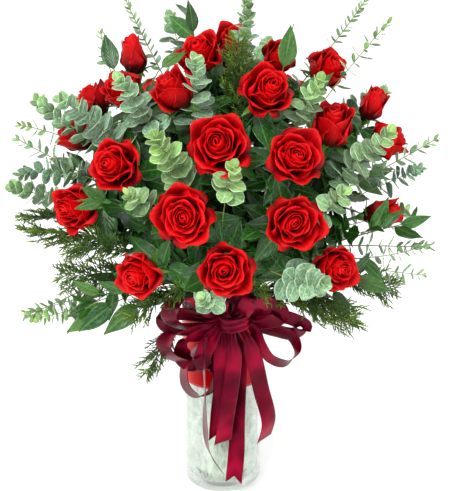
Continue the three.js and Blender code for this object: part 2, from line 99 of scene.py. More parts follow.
# Sprigs: tip is where the sprig ends. rise is how far up its stem first climbs above the
# neck, as a share of the way to the tip. leaf is the largest leaf's length.
# bare is the share of the stem above the neck that carries no leaves.
EUCALYPTUS = [
    {"tip": [-136, 20, 744], "rise": 0.6, "sway": -30, "leaf": 24, "pairs": 5, "bare": 0.5},
    {"tip": [36, -30, 748], "rise": 0.5, "leaf": 34, "pairs": 5, "bare": 0.5},
    {"tip": [204, 30, 744], "rise": 0.6, "sway": 45, "leaf": 24, "pairs": 5, "bare": 0.55},
    {"tip": [-262, -30, 612], "rise": 0.7, "sway": 60, "leaf": 42, "pairs": 5, "bare": 0.45},
    {"tip": [-292, -44, 560], "rise": 0.35, "leaf": 30, "pairs": 5, "bare": 0.5},
    {"tip": [-296, -70, 496], "rise": 0.4, "leaf": 36, "pairs": 5, "bare": 0.45},
    {"tip": [-284, -104, 314], "rise": 0.55, "leaf": 26, "pairs": 5, "bare": 0.45},
    {"tip": [300, -40, 556], "rise": 0.4, "sway": -45, "leaf": 30, "pairs": 5, "bare": 0.45},
    {"tip": [300, -60, 404], "rise": 0.45, "leaf": 28, "pairs": 5, "bare": 0.45},
    {"tip": [134, -226, 408], "rise": 0.6, "leaf": 31, "pairs": 5, "bare": 0.74,
      "arrive": [66, -70, 46]},
    {"tip": [-232, 190, 566], "rise": 0.45, "leaf": 36, "pairs": 5, "bare": 0.45},
    {"tip": [226, 204, 548], "rise": 0.45, "leaf": 36, "pairs": 5, "bare": 0.45},
    {"tip": [60, 262, 620], "rise": 0.5, "leaf": 34, "pairs": 5, "bare": 0.5},
]

RUSCUS = [
    {"tip": [-216, -120, 322], "rise": 0.7, "leaf": 58, "pairs": 4, "bare": 0.4},
    {"tip": [292, -78, 452], "rise": 0.3, "sway": -30, "leaf": 60, "pairs": 4, "bare": 0.5},
    {"tip": [-46, 10, 742], "rise": 0.5, "leaf": 60, "pairs": 4, "bare": 0.55},
    {"tip": [-60, 268, 440], "rise": 0.55, "leaf": 60, "pairs": 5, "bare": 0.4},
]

CEDAR = [
    {"tip": [-274, -116, 446], "rise": 0.4, "leaf": 52, "pairs": 5, "bare": 0.5},
    {"tip": [22, -84, 706], "rise": 0.5, "leaf": 44, "pairs": 5, "bare": 0.55},
    {"tip": [176, -176, 330], "rise": 0.55, "sway": 15, "leaf": 52, "pairs": 5, "bare": 0.5},
    {"tip": [120, 240, 400], "rise": 0.6, "leaf": 52, "pairs": 5, "bare": 0.45},
]

# The bow's loops: each leaves the knot, passes these stations and comes back. across is the
# direction of the ribbon's width at the start, the middle and the end of the loop.
LOOPS = [
    {  # upper left ring
        "through": [[-21, -96, 312], [-34, -106, 332], [-53, -112, 341], [-71, -112, 331],
                    [-76, -106, 311], [-63, -98, 296], [-38, -90, 291], [-17, -86, 296]],
        "across": [[0.5, -0.5, 0.7], [0.9, -0.4, 0.2], [0.35, -0.5, 0.8]],
    },
    {  # lower left ring
        "through": [[-17, -88, 292], [-44, -98, 290], [-70, -106, 286], [-85, -104, 270],
                    [-77, -98, 250], [-54, -88, 238], [-30, -82, 252], [-10, -80, 278]],
        "across": [[0.2, -0.4, 0.9], [0.9, -0.4, 0.15], [0.5, -0.4, 0.8]],
    },
    {  # small one behind
        "through": [[-25, -76, 300], [-58, -74, 306], [-86, -72, 300], [-84, -70, 286],
                    [-54, -70, 280], [-23, -74, 286]],
        "across": [[0, -0.4, 0.9], [0.4, -0.4, 0.85], [0, -0.4, 0.9]],
    },
    {  # broad fold under the left loops
        "through": [[-8, -84, 288], [-30, -88, 280], [-54, -88, 262], [-58, -84, 240],
                    [-40, -78, 226], [-18, -76, 244], [-6, -78, 272]],
        "across": [[0.6, -0.2, 0.7], [0.7, -0.2, 0.75], [0.8, -0.3, 0.5]],
    },
    {  # fold between the left loops and the first tail
        "through": [[-4, -92, 292], [-18, -96, 272], [-28, -92, 246], [-24, -84, 222],
                    [-10, -80, 238], [-2, -80, 270]],
        "across": [[0.9, -0.15, 0.35], [0.95, -0.1, 0.2], [0.9, -0.3, 0.3]],
    },
    {  # hanging, seen on its edge
        "through": [[-13, -78, 272], [-38, -78, 251], [-56, -78, 224], [-54, -78, 192],
                    [-37, -77, 176], [-20, -76, 184], [-8, -75, 210], [-1, -78, 252]],
        "across": [[0.5, -0.7, 0.4], [0.5, -0.75, 0.45], [0.3, -0.9, 0.3]],
    },
    {  # small upright
        "through": [[8, -92, 308], [-1, -98, 323], [1, -100, 338], [12, -94, 342],
                    [22, -88, 326], [16, -86, 310]],
        "across": [[0.9, -0.3, 0.1], [0.9, -0.3, 0.2], [0.9, -0.3, 0.1]],
    },
    {  # upright fold on the right
        "through": [[24, -94, 306], [34, -104, 328], [42, -108, 344], [57, -104, 344],
                    [62, -94, 326], [44, -86, 306]],
        "across": [[0.8, -0.5, 0.2], [0.75, -0.5, 0.35], [0.8, -0.5, 0.3]],
    },
    {  # the fold behind it
        "through": [[32, -88, 308], [56, -100, 330], [78, -102, 328], [84, -98, 311],
                    [62, -90, 299], [40, -84, 297]],
        "across": [[0.4, -0.5, 0.8], [0.6, -0.4, 0.8], [0.3, -0.5, 0.8]],
    },
    {  # pointed fold, far right
        "through": [[40, -82, 299], [75, -90, 308], [103, -94, 304], [118, -90, 292],
                    [102, -86, 279], [77, -82, 282], [53, -78, 288]],
        "across": [[0.1, -0.4, 0.9], [0.6, -0.3, 0.8], [0.1, -0.5, 0.9]],
    },
    {  # hanging ring, lower right
        "through": [[44, -86, 288], [56, -94, 266], [70, -98, 246], [93, -98, 239],
                    [108, -92, 254], [103, -86, 273], [82, -82, 284], [57, -80, 290]],
        "across": [[0.7, -0.6, 0.4], [0.4, -0.65, 0.7], [0.35, -0.6, 0.75]],
    },
]

# The tails, from the knot down. cut is how the end was snipped: a notch or a slant, in mm.
TAILS = [
    {
        "through": [[0, -93, 290], [-1, -93, 244], [-1, -93, 192], [-5, -92, 153], [-8, -90, 107]],
        "across": [[1, 0, 0], [1, -0.1, 0.1]], "notch": 13, "slant": 0,
    },
    {
        "through": [[14, -97, 290], [17, -98, 241], [12, -98, 193], [6, -97, 152], [0, -95, 104]],
        "across": [[0.9, 0.3, 0], [0.9, 0.2, 0.2]], "notch": 0, "slant": 10,
    },
    {
        "through": [[18, -80, 290], [27, -77, 234], [24, -78, 178], [22, -82, 131],
                    [21, -85, 85], [17, -87, 35]],
        "across": [[0.7, -0.65, 0], [1, -0.15, 0]], "notch": 12, "slant": 0,
    },
    {
        "through": [[27, -93, 290], [38, -93, 272], [48, -86, 234], [58, -78, 186],
                    [70, -72, 132], [62, -66, 94]],
        "across": [[1, 0.1, 0.2], [0.8, 0.5, 0.2]], "notch": 0, "slant": 12,
    },
    {
        "through": [[-23, -104, 284], [-27, -102, 244], [-26, -100, 185], [-25, -99, 139],
                    [-20, -99, 98], [3, -97, 54]],
        "across": [[0.1, -1, 0], [0.3, -0.95, 0.1]], "notch": 0, "slant": 8,
    },
]

# Sprigs too fine for collision: leafy from the first point to the second.
# kind: silver, round eucalyptus; baby, narrow eucalyptus; ruscus; lone, one long leaf; cedar.
FILLERS = [
    {"kind": "baby", "leafy": [[-166, 11, 656], [-173, 9, 704]], "leaf": 17, "fresh": 1.0},
    {"kind": "silver", "leafy": [[-128, -70, 560], [-214, -116, 628]], "leaf": 35, "fresh": 0.15},
    {"kind": "silver", "leafy": [[-97, -70, 588], [-134, -130, 656]], "leaf": 32, "fresh": 0.25},
    {"kind": "baby", "leafy": [[-206, -3, 555], [-289, -22, 574]], "leaf": 24, "fresh": 0.8},
    {"kind": "silver", "leafy": [[-193, -58, 546], [-291, -32, 503]], "leaf": 28, "fresh": 0.1},
    {"kind": "silver", "leafy": [[-46, -140, 521], [-87, -200, 597]], "leaf": 31, "fresh": 1.0},
    {"kind": "silver", "leafy": [[2, -186, 505], [14, -214, 560]], "leaf": 27, "fresh": 0.9},
    {"kind": "silver", "leafy": [[-43, -100, 600], [-34, -135, 681]], "leaf": 35, "fresh": 0.2},
    {"kind": "silver", "leafy": [[101, -90, 588], [129, -128, 655]], "leaf": 29, "fresh": 0.7},
    {"kind": "silver", "leafy": [[162, -90, 506], [224, -130, 585]], "leaf": 33, "fresh": 0.5},
    {"kind": "silver", "leafy": [[219, -41, 483], [285, -29, 513]], "leaf": 26, "fresh": 0.0},
    {"kind": "silver", "leafy": [[138, -159, 480], [162, -174, 519]], "leaf": 26, "fresh": 0.6},
    {"kind": "silver", "leafy": [[-10, -180, 360], [-25, -211, 379]], "leaf": 26, "fresh": 0.3},
    {"kind": "silver", "leafy": [[-95, -178, 499], [-121, -198, 519]], "leaf": 26, "fresh": 0.8},
    {"kind": "silver", "leafy": [[236, -30, 440], [269, -36, 452]], "leaf": 26, "fresh": 0.5},
    {"kind": "baby", "leafy": [[160, -40, 640], [236, 10, 716]], "leaf": 24, "fresh": 0.8},
    {"kind": "lone", "leafy": [[-150, -60, 650], [-164, -30, 706]], "leaf": 54, "fresh": 0.0},
    {"kind": "lone", "leafy": [[81, -84, 660], [97, -60, 721]], "leaf": 60, "fresh": 0.2},
    {"kind": "lone", "leafy": [[100, -96, 634], [152, -70, 656]], "leaf": 60, "fresh": 0.1},
    {"kind": "lone", "leafy": [[-90, -60, 668], [-50, -50, 684]], "leaf": 40, "fresh": 0.3},
    {"kind": "baby", "leafy": [[-175, -92, 334], [-285, -82, 312]], "leaf": 24, "fresh": 0.5},
    {"kind": "baby", "leafy": [[238, -50, 362], [292, -67, 363]], "leaf": 22, "fresh": 0.3},
    {"kind": "baby", "leafy": [[216, -44, 363], [293, -56, 405]], "leaf": 22, "fresh": 0.4},
    {"kind": "silver", "leafy": [[20, 150, 600], [70, 205, 660]], "leaf": 34, "fresh": 0.3},
    {"kind": "silver", "leafy": [[-110, 165, 500], [-165, 215, 520]], "leaf": 34, "fresh": 0.4},
    {"kind": "silver", "leafy": [[90, 185, 490], [130, 235, 500]], "leaf": 34, "fresh": 0.4},
    {"kind": "silver", "leafy": [[170, 90, 560], [250, 110, 600]], "leaf": 32, "fresh": 0.3},
    {"kind": "silver", "leafy": [[-60, 110, 650], [-80, 140, 710]], "leaf": 30, "fresh": 0.3},
    {"kind": "ruscus", "leafy": [[-120, -120, 470], [-180, -175, 520]], "leaf": 58, "fresh": 0.2},
    {"kind": "ruscus", "leafy": [[150, 60, 480], [262, 80, 480]], "leaf": 60, "fresh": 0.2},
    {"kind": "ruscus", "leafy": [[-150, 60, 480], [-262, 70, 500]], "leaf": 60, "fresh": 0.2},
    {"kind": "cedar", "leafy": [[-195, -24, 436], [-289, -43, 446]], "leaf": 40, "fresh": 0.2},
    {"kind": "cedar", "leafy": [[-131, -154, 443], [-219, -111, 423]], "leaf": 36, "fresh": 0.2},
    {"kind": "cedar", "leafy": [[-141, -140, 388], [-233, -78, 365]], "leaf": 42, "fresh": 0.2},
    {"kind": "cedar", "leafy": [[28, -124, 590], [34, -50, 682]], "leaf": 33, "fresh": 0.3},
    {"kind": "cedar", "leafy": [[87, -147, 355], [193, -79, 301]], "leaf": 42, "fresh": 0.3},
    {"kind": "cedar", "leafy": [[170, -66, 365], [255, -58, 340]], "leaf": 40, "fresh": 0.3},
    {"kind": "cedar", "leafy": [[-79, -132, 366], [-126, -162, 335]], "leaf": 34, "fresh": 0.3},
    {"kind": "cedar", "leafy": [[-70, -58, 286], [-112, -85, 213]], "leaf": 32, "fresh": 0.3},
    {"kind": "cedar", "leafy": [[-40, -70, 352], [-96, -124, 350]], "leaf": 34, "fresh": 0.2},
    {"kind": "cedar", "leafy": [[-6, -96, 372], [-66, -150, 366]], "leaf": 32, "fresh": 0.3},
    {"kind": "cedar", "leafy": [[40, -70, 356], [110, -110, 336]], "leaf": 34, "fresh": 0.2},
    {"kind": "cedar", "leafy": [[10, -110, 372], [60, -160, 372]], "leaf": 30, "fresh": 0.4},
    {"kind": "ruscus", "leafy": [[-30, -40, 330], [-128, -84, 326]], "leaf": 52, "fresh": 0.1},
    {"kind": "ruscus", "leafy": [[30, -40, 330], [132, -84, 334]], "leaf": 52, "fresh": 0.1},
    {"kind": "lone", "leafy": [[-130, -150, 356], [-163, -150, 304]], "leaf": 63, "fresh": 0.15},
    {"kind": "lone", "leafy": [[-164, -140, 349], [-200, -140, 304]], "leaf": 59, "fresh": 0.0},
    {"kind": "lone", "leafy": [[-163, -120, 343], [-220, -125, 295]], "leaf": 76, "fresh": 0.35},
    {"kind": "lone", "leafy": [[-178, -130, 347], [-209, -125, 372]], "leaf": 41, "fresh": 0.3},
    {"kind": "lone", "leafy": [[-136, -140, 356], [-172, -135, 374]], "leaf": 41, "fresh": 0.1},
    {"kind": "lone", "leafy": [[172, -110, 362], [183, -125, 321]], "leaf": 46, "fresh": 0.0},
    {"kind": "lone", "leafy": [[190, -110, 374], [238, -115, 356]], "leaf": 52, "fresh": 0.2},
    {"kind": "lone", "leafy": [[190, -110, 374], [211, -105, 407]], "leaf": 41, "fresh": 0.0},
    {"kind": "lone", "leafy": [[210, -80, 405], [233, -95, 365]], "leaf": 49, "fresh": 0.1},
    {"kind": "lone", "leafy": [[151, -125, 352], [131, -135, 323]], "leaf": 37, "fresh": 0.0},
    {"kind": "silver", "leafy": [[-205, -110, 318], [-272, -100, 309]], "leaf": 21, "fresh": 0.9},
    {"kind": "cedar", "leafy": [[-60, 150, 400], [-120, 230, 370]], "leaf": 42, "fresh": 0.3},
]


# ---------------------------------------------------------------- small helpers

def unit(v):
    """Vectors of length 1, along the last axis."""
    v = np.asarray(v, float)
    return v / np.maximum(np.linalg.norm(v, axis=-1, keepdims=True), 1e-9)


def mix(a, b, t):
    return a + (b - a) * t


def smooth(a, b, x):
    """0 below a, 1 above b, and an easy slope between."""
    t = np.clip((x - a) / (b - a), 0, 1)
    return t * t * (3 - 2 * t)


def facing(face):
    h, lift = math.radians(face[0]), math.radians(face[1])
    return np.array([math.sin(h) * math.cos(lift), -math.cos(h) * math.cos(lift), math.sin(lift)])


def square_to(v, axis):
    """v with its part along axis taken out, at length 1."""
    v = np.asarray(v, float)
    return unit(v - np.sum(v * axis, axis=-1, keepdims=True) * axis)


def turned(v, axis, angle):
    """v turned round a unit axis."""
    c, s = math.cos(angle), math.sin(angle)
    return v * c + np.cross(axis, v) * s + axis * np.dot(axis, v) * (1 - c)


def outward(p):
    """The way out of the bouquet at p, a little upward."""
    return unit(np.asarray(p) - np.array(HEART_OF_BOUQUET) + np.array([0, 0, 30]))


BLOOM_AT = np.array([rose["at"] for rose in ROSES], float)
BLOOM_LOOK = np.array([facing(rose["face"]) for rose in ROSES])
BLOOM_REACH = np.array([BLOOM_RADIUS * rose["size"] * mix(0.55, 0.95, rose["open"])
                        for rose in ROSES])


def in_bloom(*points):
    """Whether any of the points lies among a rose's petals."""
    for p in points:
        away = p - BLOOM_AT
        height = np.sum(away * BLOOM_LOOK, axis=1)
        radius = np.linalg.norm(away - height[:, None] * BLOOM_LOOK, axis=1)
        among = (height > -0.8 * BLOOM_REACH) & (height < 0.4 * BLOOM_REACH)
        if np.any(among & (radius < BLOOM_REACH)):
            return True
    return False


class Path:
    """A line through close-set points, measured along its length."""

    def __init__(self, points):
        self.points = np.asarray(points, float)
        steps = np.linalg.norm(np.diff(self.points, axis=0), axis=1)
        self.marks = np.r_[0, np.cumsum(steps)]
        self.length = self.marks[-1]

    def at(self, s):
        return np.stack([np.interp(s, self.marks, self.points[:, k]) for k in range(3)], -1)

    def way(self, s, reach=1.5):
        return unit(self.at(np.minimum(s + reach, self.length)) - self.at(np.maximum(s - reach, 0)))


def spline(stations, steps=14):
    """A smooth path through stations (centripetal Catmull-Rom)."""
    p = [np.array(q, float) for q in stations]
    p = [2 * p[0] - p[1]] + p + [2 * p[-1] - p[-2]]
    points = []
    for a, b, c, d in zip(p, p[1:], p[2:], p[3:]):
        t0 = 0.0
        t1 = t0 + np.linalg.norm(b - a) ** 0.5
        t2 = t1 + np.linalg.norm(c - b) ** 0.5
        t3 = t2 + np.linalg.norm(d - c) ** 0.5
        t = np.linspace(t1, t2, steps, endpoint=False)[:, None]
        ab = (t1 - t) / (t1 - t0) * a + (t - t0) / (t1 - t0) * b
        bc = (t2 - t) / (t2 - t1) * b + (t - t1) / (t2 - t1) * c
        cd = (t3 - t) / (t3 - t2) * c + (t - t2) / (t3 - t2) * d
        abc = (t2 - t) / (t2 - t0) * ab + (t - t0) / (t2 - t0) * bc
        bcd = (t3 - t) / (t3 - t1) * bc + (t - t1) / (t3 - t1) * cd
        points.extend((t2 - t) / (t2 - t1) * abc + (t - t1) / (t2 - t1) * bcd)
    points.append(p[-2])
    return Path(points)


# ---------------------------------------------------------------- making meshes

class Cutting:
    """Gathers closed thin sheets and tapered tubes, and makes one piece of them.

    Two colours go with each point. shape: how far across (0-1), how far along (0-1) and which
    face (0 or 1). shade: a random tone, how fresh or outer the piece is, and 1 on wood.
    """

    def __init__(self):
        self.points, self.faces, self.shape, self.shade = [], [], [], []
        self.count = 0

    def keep(self, points, faces, across, along, side, tone, fresh, wood):
        """Gather a closed mesh, with the values that its two colours hold."""
        n = len(points)
        self.points.append(points)
        self.faces.extend(faces)
        self.shape.append(np.stack([across, along, side, np.ones(n)], -1))
        self.shade.append(np.tile([tone, fresh, wood, 1.0], (n, 1)))
        self.count += n

    def sheet(self, grid, thickness, tone=0.5, fresh=0.0):
        """A grid of points (along, across) as a closed sheet of even thickness."""
        rows, cols = grid.shape[:2]
        normal = unit(np.cross(np.gradient(grid, axis=1), np.gradient(grid, axis=0)))
        top = (grid + normal * thickness / 2).reshape(-1, 3)
        low = (grid - normal * thickness / 2).reshape(-1, 3)
        i = np.arange(rows * cols).reshape(rows, cols)
        a, b, c, d = i[:-1, :-1], i[:-1, 1:], i[1:, 1:], i[1:, :-1]
        upper = np.stack([a, b, c, d], -1).reshape(-1, 4)
        lower = np.stack([a, d, c, b], -1).reshape(-1, 4) + rows * cols
        ring = np.concatenate([i[0, :], i[1:, -1], i[-1, -2::-1], i[-2:0:-1, 0]])
        after = np.roll(ring, -1)
        rim = np.stack([ring, ring + rows * cols, after + rows * cols, after], -1)
        faces = (np.vstack([upper, lower, rim]) + self.count).tolist()
        across, along = np.meshgrid(np.linspace(0, 1, cols), np.linspace(0, 1, rows))
        both = np.tile(across.ravel(), 2), np.tile(along.ravel(), 2)
        side = np.repeat([0.0, 1.0], rows * cols)
        self.keep(np.vstack([top, low]), faces, *both, side, tone, fresh, 0.0)

    def tube(self, centres, radii, sides=6, tone=0.5, fresh=0.0, wood=1.0):
        """A closed tube through centres."""
        centres = np.asarray(centres, float)
        radii = np.broadcast_to(radii, len(centres))
        ways = unit(np.gradient(centres, axis=0))
        side = square_to([1, 0, 0] if abs(ways[0][0]) < 0.8 else [0, 1, 0], ways[0])
        turn = np.linspace(0, 2 * math.pi, sides, endpoint=False)
        rings = []
        for p, way, r in zip(centres, ways, radii):
            side = square_to(side, way)
            other = np.cross(way, side)
            rings.append(p + r * (np.outer(np.cos(turn), side) + np.outer(np.sin(turn), other)))
        n = len(centres)
        i = np.arange(n * sides).reshape(n, sides) + self.count
        j = np.roll(i, -1, axis=1)
        walls = np.stack([i[:-1], j[:-1], j[1:], i[1:]], -1).reshape(-1, 4)
        faces = walls.tolist() + [i[0, ::-1].tolist(), i[-1].tolist()]
        along = np.repeat(np.linspace(0, 1, n), sides)
        across = np.tile(np.linspace(0, 1, sides), n)
        self.keep(np.vstack(rings), faces, across, along, np.zeros(n * sides), tone, fresh, wood)

    def piece(self, name, material, slot, *nodes):
        """The one object of everything gathered, riding on the vase's body."""
        mesh = bpy.data.meshes.new(name)
        mesh.from_pydata((np.vstack(self.points) * MM).tolist(), [], self.faces)
        for layer, values in (("shape", self.shape), ("shade", self.shade)):
            attribute = mesh.color_attributes.new(layer, "FLOAT_COLOR", "POINT")
            attribute.data.foreach_set("color", np.vstack(values).ravel())
        mesh.shade_smooth()
        made = bpy.data.objects.new(name, mesh)
        bpy.context.scene.collection.objects.link(made)
        mesh.materials.append(material)
        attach(made, "root")
        if nodes:
            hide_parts(*nodes)
        return made


# ---------------------------------------------------------------- materials

def linear(code):
    """An sRGB hex colour as linear RGBA."""
    parts = [int(code[i:i + 2], 16) / 255 for i in (1, 3, 5)]
    return [c / 12.92 if c <= 0.04045 else ((c + 0.055) / 1.055) ** 2.4 for c in parts] + [1.0]


def put(tree, kind, sockets=None, stops=None, **settings):
    """Adds a shader node. sockets gives its inputs a value or another node's output."""
    made = tree.nodes.new("ShaderNode" + kind)
    for name, value in settings.items():
        setattr(made, name, value)
    for name, value in (sockets or {}).items():
        if isinstance(value, bpy.types.NodeSocket):
            tree.links.new(value, made.inputs[name])
        else:
            made.inputs[name].default_value = value
    for i, (place, code) in enumerate(stops or []):
        ramp = made.color_ramp.elements
        stop = ramp[i] if i < len(ramp) else ramp.new(place)
        stop.position = place
        stop.color = linear(code)
    return made.outputs


def blank(name):
    """A new material's empty node tree."""
    material = bpy.data.materials.new(name)
    material.use_nodes = True
    material.node_tree.nodes.clear()
    return material, material.node_tree


def finish_with(tree, sockets):
    """Ends a material in the principled shader."""
    shader = put(tree, "BsdfPrincipled", sockets)
    put(tree, "OutputMaterial", {"Surface": shader[0]})


def read_points(tree):
    """The two colours of the mesh's points, split: across, along, side; tone, fresh, wood."""
    shape = put(tree, "Attribute", attribute_name="shape")["Color"]
    shade = put(tree, "Attribute", attribute_name="shade")["Color"]
    return (*put(tree, "SeparateColor", {0: shape}), *put(tree, "SeparateColor", {0: shade}))


def rose_petal():
    """Fresh rose petal: velvety cells give a deep, saturated red with hardly any gloss.

    Painted shade makes it nearly black red down in the cup, and a painted highlight makes it bright at
    the rolled rim.
    """
    material, tree = blank("rose_petal_fresh")
    across, along, side, tone, _, _ = read_points(tree)
    # painted shade and highlight: along each petal, front and back, the red darkens to near black at the
    # claw, where the cup lies in shade, and brightens at the rim
    depth = put(tree, "ValToRGB", {0: along}, stops=[
        (0.0, "#140001"), (0.42, "#6c0004"), (0.68, "#dc0008"), (0.9, "#fc080e"), (1.0, "#ff1014")])[0]
    back = put(tree, "ValToRGB", {0: along}, stops=[
        (0.0, "#200003"), (0.5, "#84000a"), (0.8, "#c4000c"), (1.0, "#f0060e")])[0]
    colour = put(tree, "Mix", {0: side, 6: depth, 7: back}, data_type="RGBA")[2]
    cool = put(tree, "Mix", {0: tone, 6: linear("#ffffff"), 7: linear("#c890b0")},
               data_type="RGBA")[2]
    colour = put(tree, "Mix", {0: 1.0, 6: colour, 7: cool}, data_type="RGBA",
                 blend_type="MULTIPLY")[2]
    # veins fan from the claw of the petal: about 30 across its width
    place = put(tree, "CombineXYZ", {0: across, 1: along, 2: tone})[0]
    stretch = put(tree, "Mapping", {0: place, 3: (30.0, 3.0, 40.0)})[0]
    veins = put(tree, "TexNoise", {"Vector": stretch, "Scale": 1.0, "Detail": 2.0})[0]
    shade = put(tree, "ValToRGB", {0: veins}, stops=[(0.3, "#c8c8c8"), (0.7, "#ffffff")])[0]
    colour = put(tree, "Mix", {0: 1.0, 6: colour, 7: shade}, data_type="RGBA",
                 blend_type="MULTIPLY")[2]
    bump = put(tree, "Bump", {"Strength": 0.35, "Distance": 0.0004, "Height": veins})[0]
    finish_with(tree, {
        "Base Color": colour, "Roughness": 0.5, "Normal": bump, "Specular IOR Level": 0.16,
    })
    return material


def leaf_skin(name, stops, rim, rib, fresh_code, wood_code, roughness, coat, gauge):
    """A leaf's skin: mottled blade, paler midrib and rim, fresher tips and a woody stem.

    gauge is the number of side veins along the blade.
    """
    material, tree = blank(name)
    across, along, _, tone, fresh, wood = read_points(tree)
    spot = put(tree, "TexCoord")["Object"]
    # blotches about 4 mm across, with finer grain in them
    mottle = put(tree, "TexNoise", {"Vector": spot, "Scale": 240.0, "Detail": 4.0})[0]
    blade = put(tree, "ValToRGB", {0: mottle}, stops=stops)[0]
    young = put(tree, "Mix", {0: 0.35, 6: linear(fresh_code), 7: blade}, data_type="RGBA")[2]
    colour = put(tree, "Mix", {0: fresh, 6: blade, 7: young}, data_type="RGBA")[2]
    centred = put(tree, "Math", {0: across, 1: 0.5}, operation="SUBTRACT")[0]
    aside = put(tree, "Math", {0: centred}, operation="ABSOLUTE")[0]
    middle = put(tree, "MapRange", {0: aside, 1: 0.0, 2: 0.045, 3: 1.0, 4: 0.0})[0]
    colour = put(tree, "Mix", {0: middle, 6: colour, 7: linear(rib)}, data_type="RGBA")[2]
    edge = put(tree, "MapRange", {0: aside, 1: 0.44, 2: 0.5, 3: 0.0, 4: 0.75})[0]
    colour = put(tree, "Mix", {0: edge, 6: colour, 7: linear(rim)}, data_type="RGBA")[2]
    slope = put(tree, "Math", {0: aside, 1: 0.9}, operation="MULTIPLY")[0]
    climb = put(tree, "Math", {0: along, 1: slope}, operation="SUBTRACT")[0]
    beat = put(tree, "Math", {0: climb, 1: gauge * 2 * math.pi}, operation="MULTIPLY")[0]
    veins = put(tree, "Math", {0: beat}, operation="SINE")[0]
    vein_shade = put(tree, "MapRange", {0: veins, 1: 0.55, 2: 1.0, 3: 0.0, 4: 0.22})[0]
    colour = put(tree, "Mix", {0: vein_shade, 6: colour, 7: linear(rib)}, data_type="RGBA")[2]
    tones = put(tree, "MapRange", {0: tone, 1: 0.0, 2: 1.0, 3: 0.5, 4: 1.15})[0]
    greys = put(tree, "CombineColor", {0: tones, 1: tones, 2: tones})[0]
    colour = put(tree, "Mix", {0: 1.0, 6: colour, 7: greys}, data_type="RGBA",
                 blend_type="MULTIPLY")[2]
    colour = put(tree, "Mix", {0: wood, 6: colour, 7: linear(wood_code)}, data_type="RGBA")[2]
    height = put(tree, "Math", {0: veins, 1: mottle}, operation="ADD")[0]
    bump = put(tree, "Bump", {"Strength": 0.3, "Distance": 0.0004, "Height": height})[0]
    finish_with(tree, {
        "Base Color": colour, "Roughness": roughness, "Normal": bump,
        "Specular IOR Level": 0.4, "Coat Weight": coat, "Coat Roughness": 0.3,
    })
    return material


def satin(name, dark, middle, light, glint):
    """Polyester satin ribbon, woven with long floats: soft bands of painted highlight and shade, placed
    by noise along it.

    The floats run along the ribbon and are drawn 0.5 mm apart, coarser than they are.
    """
    material, tree = blank(name)
    across, along, _, tone, _, _ = read_points(tree)
    threads = put(tree, "Math", {0: across, 1: 50 * 2 * math.pi}, operation="MULTIPLY")[0]
    floats = put(tree, "Math", {0: threads}, operation="SINE")[0]
    # painted sheen and shade: the colour lies in light and dark bands some 30 mm long across the ribbon,
    # and drifts a little
    widthways = put(tree, "Math", {0: across, 1: 0.5}, operation="MULTIPLY")[0]
    lengthways = put(tree, "Math", {0: along, 1: 5.0}, operation="MULTIPLY")[0]
    apart = put(tree, "Math", {0: tone, 1: 9.0}, operation="MULTIPLY")[0]
    run = put(tree, "CombineXYZ", {0: widthways, 1: lengthways, 2: apart})[0]
    band = put(tree, "TexNoise", {"Vector": run, "Scale": 1.0, "Detail": 1.0})[0]
    # the ramp from dark through middle to light paints shade and highlight into the ribbon's colour
    colour = put(tree, "ValToRGB", {0: band}, stops=[
        (0.28, dark), (0.52, middle), (0.78, light)])[0]
    selvedge = put(tree, "Math", {0: across, 1: 0.5}, operation="SUBTRACT")[0]
    selvedge = put(tree, "Math", {0: selvedge}, operation="ABSOLUTE")[0]
    selvedge = put(tree, "MapRange", {0: selvedge, 1: 0.46, 2: 0.49, 3: 0.0, 4: 0.6})[0]
    colour = put(tree, "Mix", {0: selvedge, 6: colour, 7: linear(dark)}, data_type="RGBA")[2]
    bump = put(tree, "Bump", {"Strength": 0.12, "Distance": 0.0002, "Height": floats})[0]
    finish_with(tree, {
        "Base Color": colour, "Roughness": 0.28, "Normal": bump, "Specular IOR Level": 0.7,
        "Specular Tint": linear(glint), "Sheen Weight": 0.03, "Sheen Roughness": 0.25,
        "Sheen Tint": linear(glint), "Anisotropic": 0.5,
    })
    return material


def clear_glass():
    """Pressed soda-lime glass: clear, faintly green where it is thick."""
    material, tree = blank("glass_pressed_clear")
    spot = put(tree, "TexCoord")["Object"]
    waves = put(tree, "TexNoise", {"Vector": spot, "Scale": 22.0, "Detail": 1.0})[0]
    bump = put(tree, "Bump", {"Strength": 0.06, "Distance": 0.001, "Height": waves})[0]
    finish_with(tree, {
        "Base Color": linear("#dff0e0"), "Roughness": 0.02, "IOR": 1.52, "Normal": bump,
        "Transmission Weight": 1.0, "Alpha": 0.45,
    })
    return material


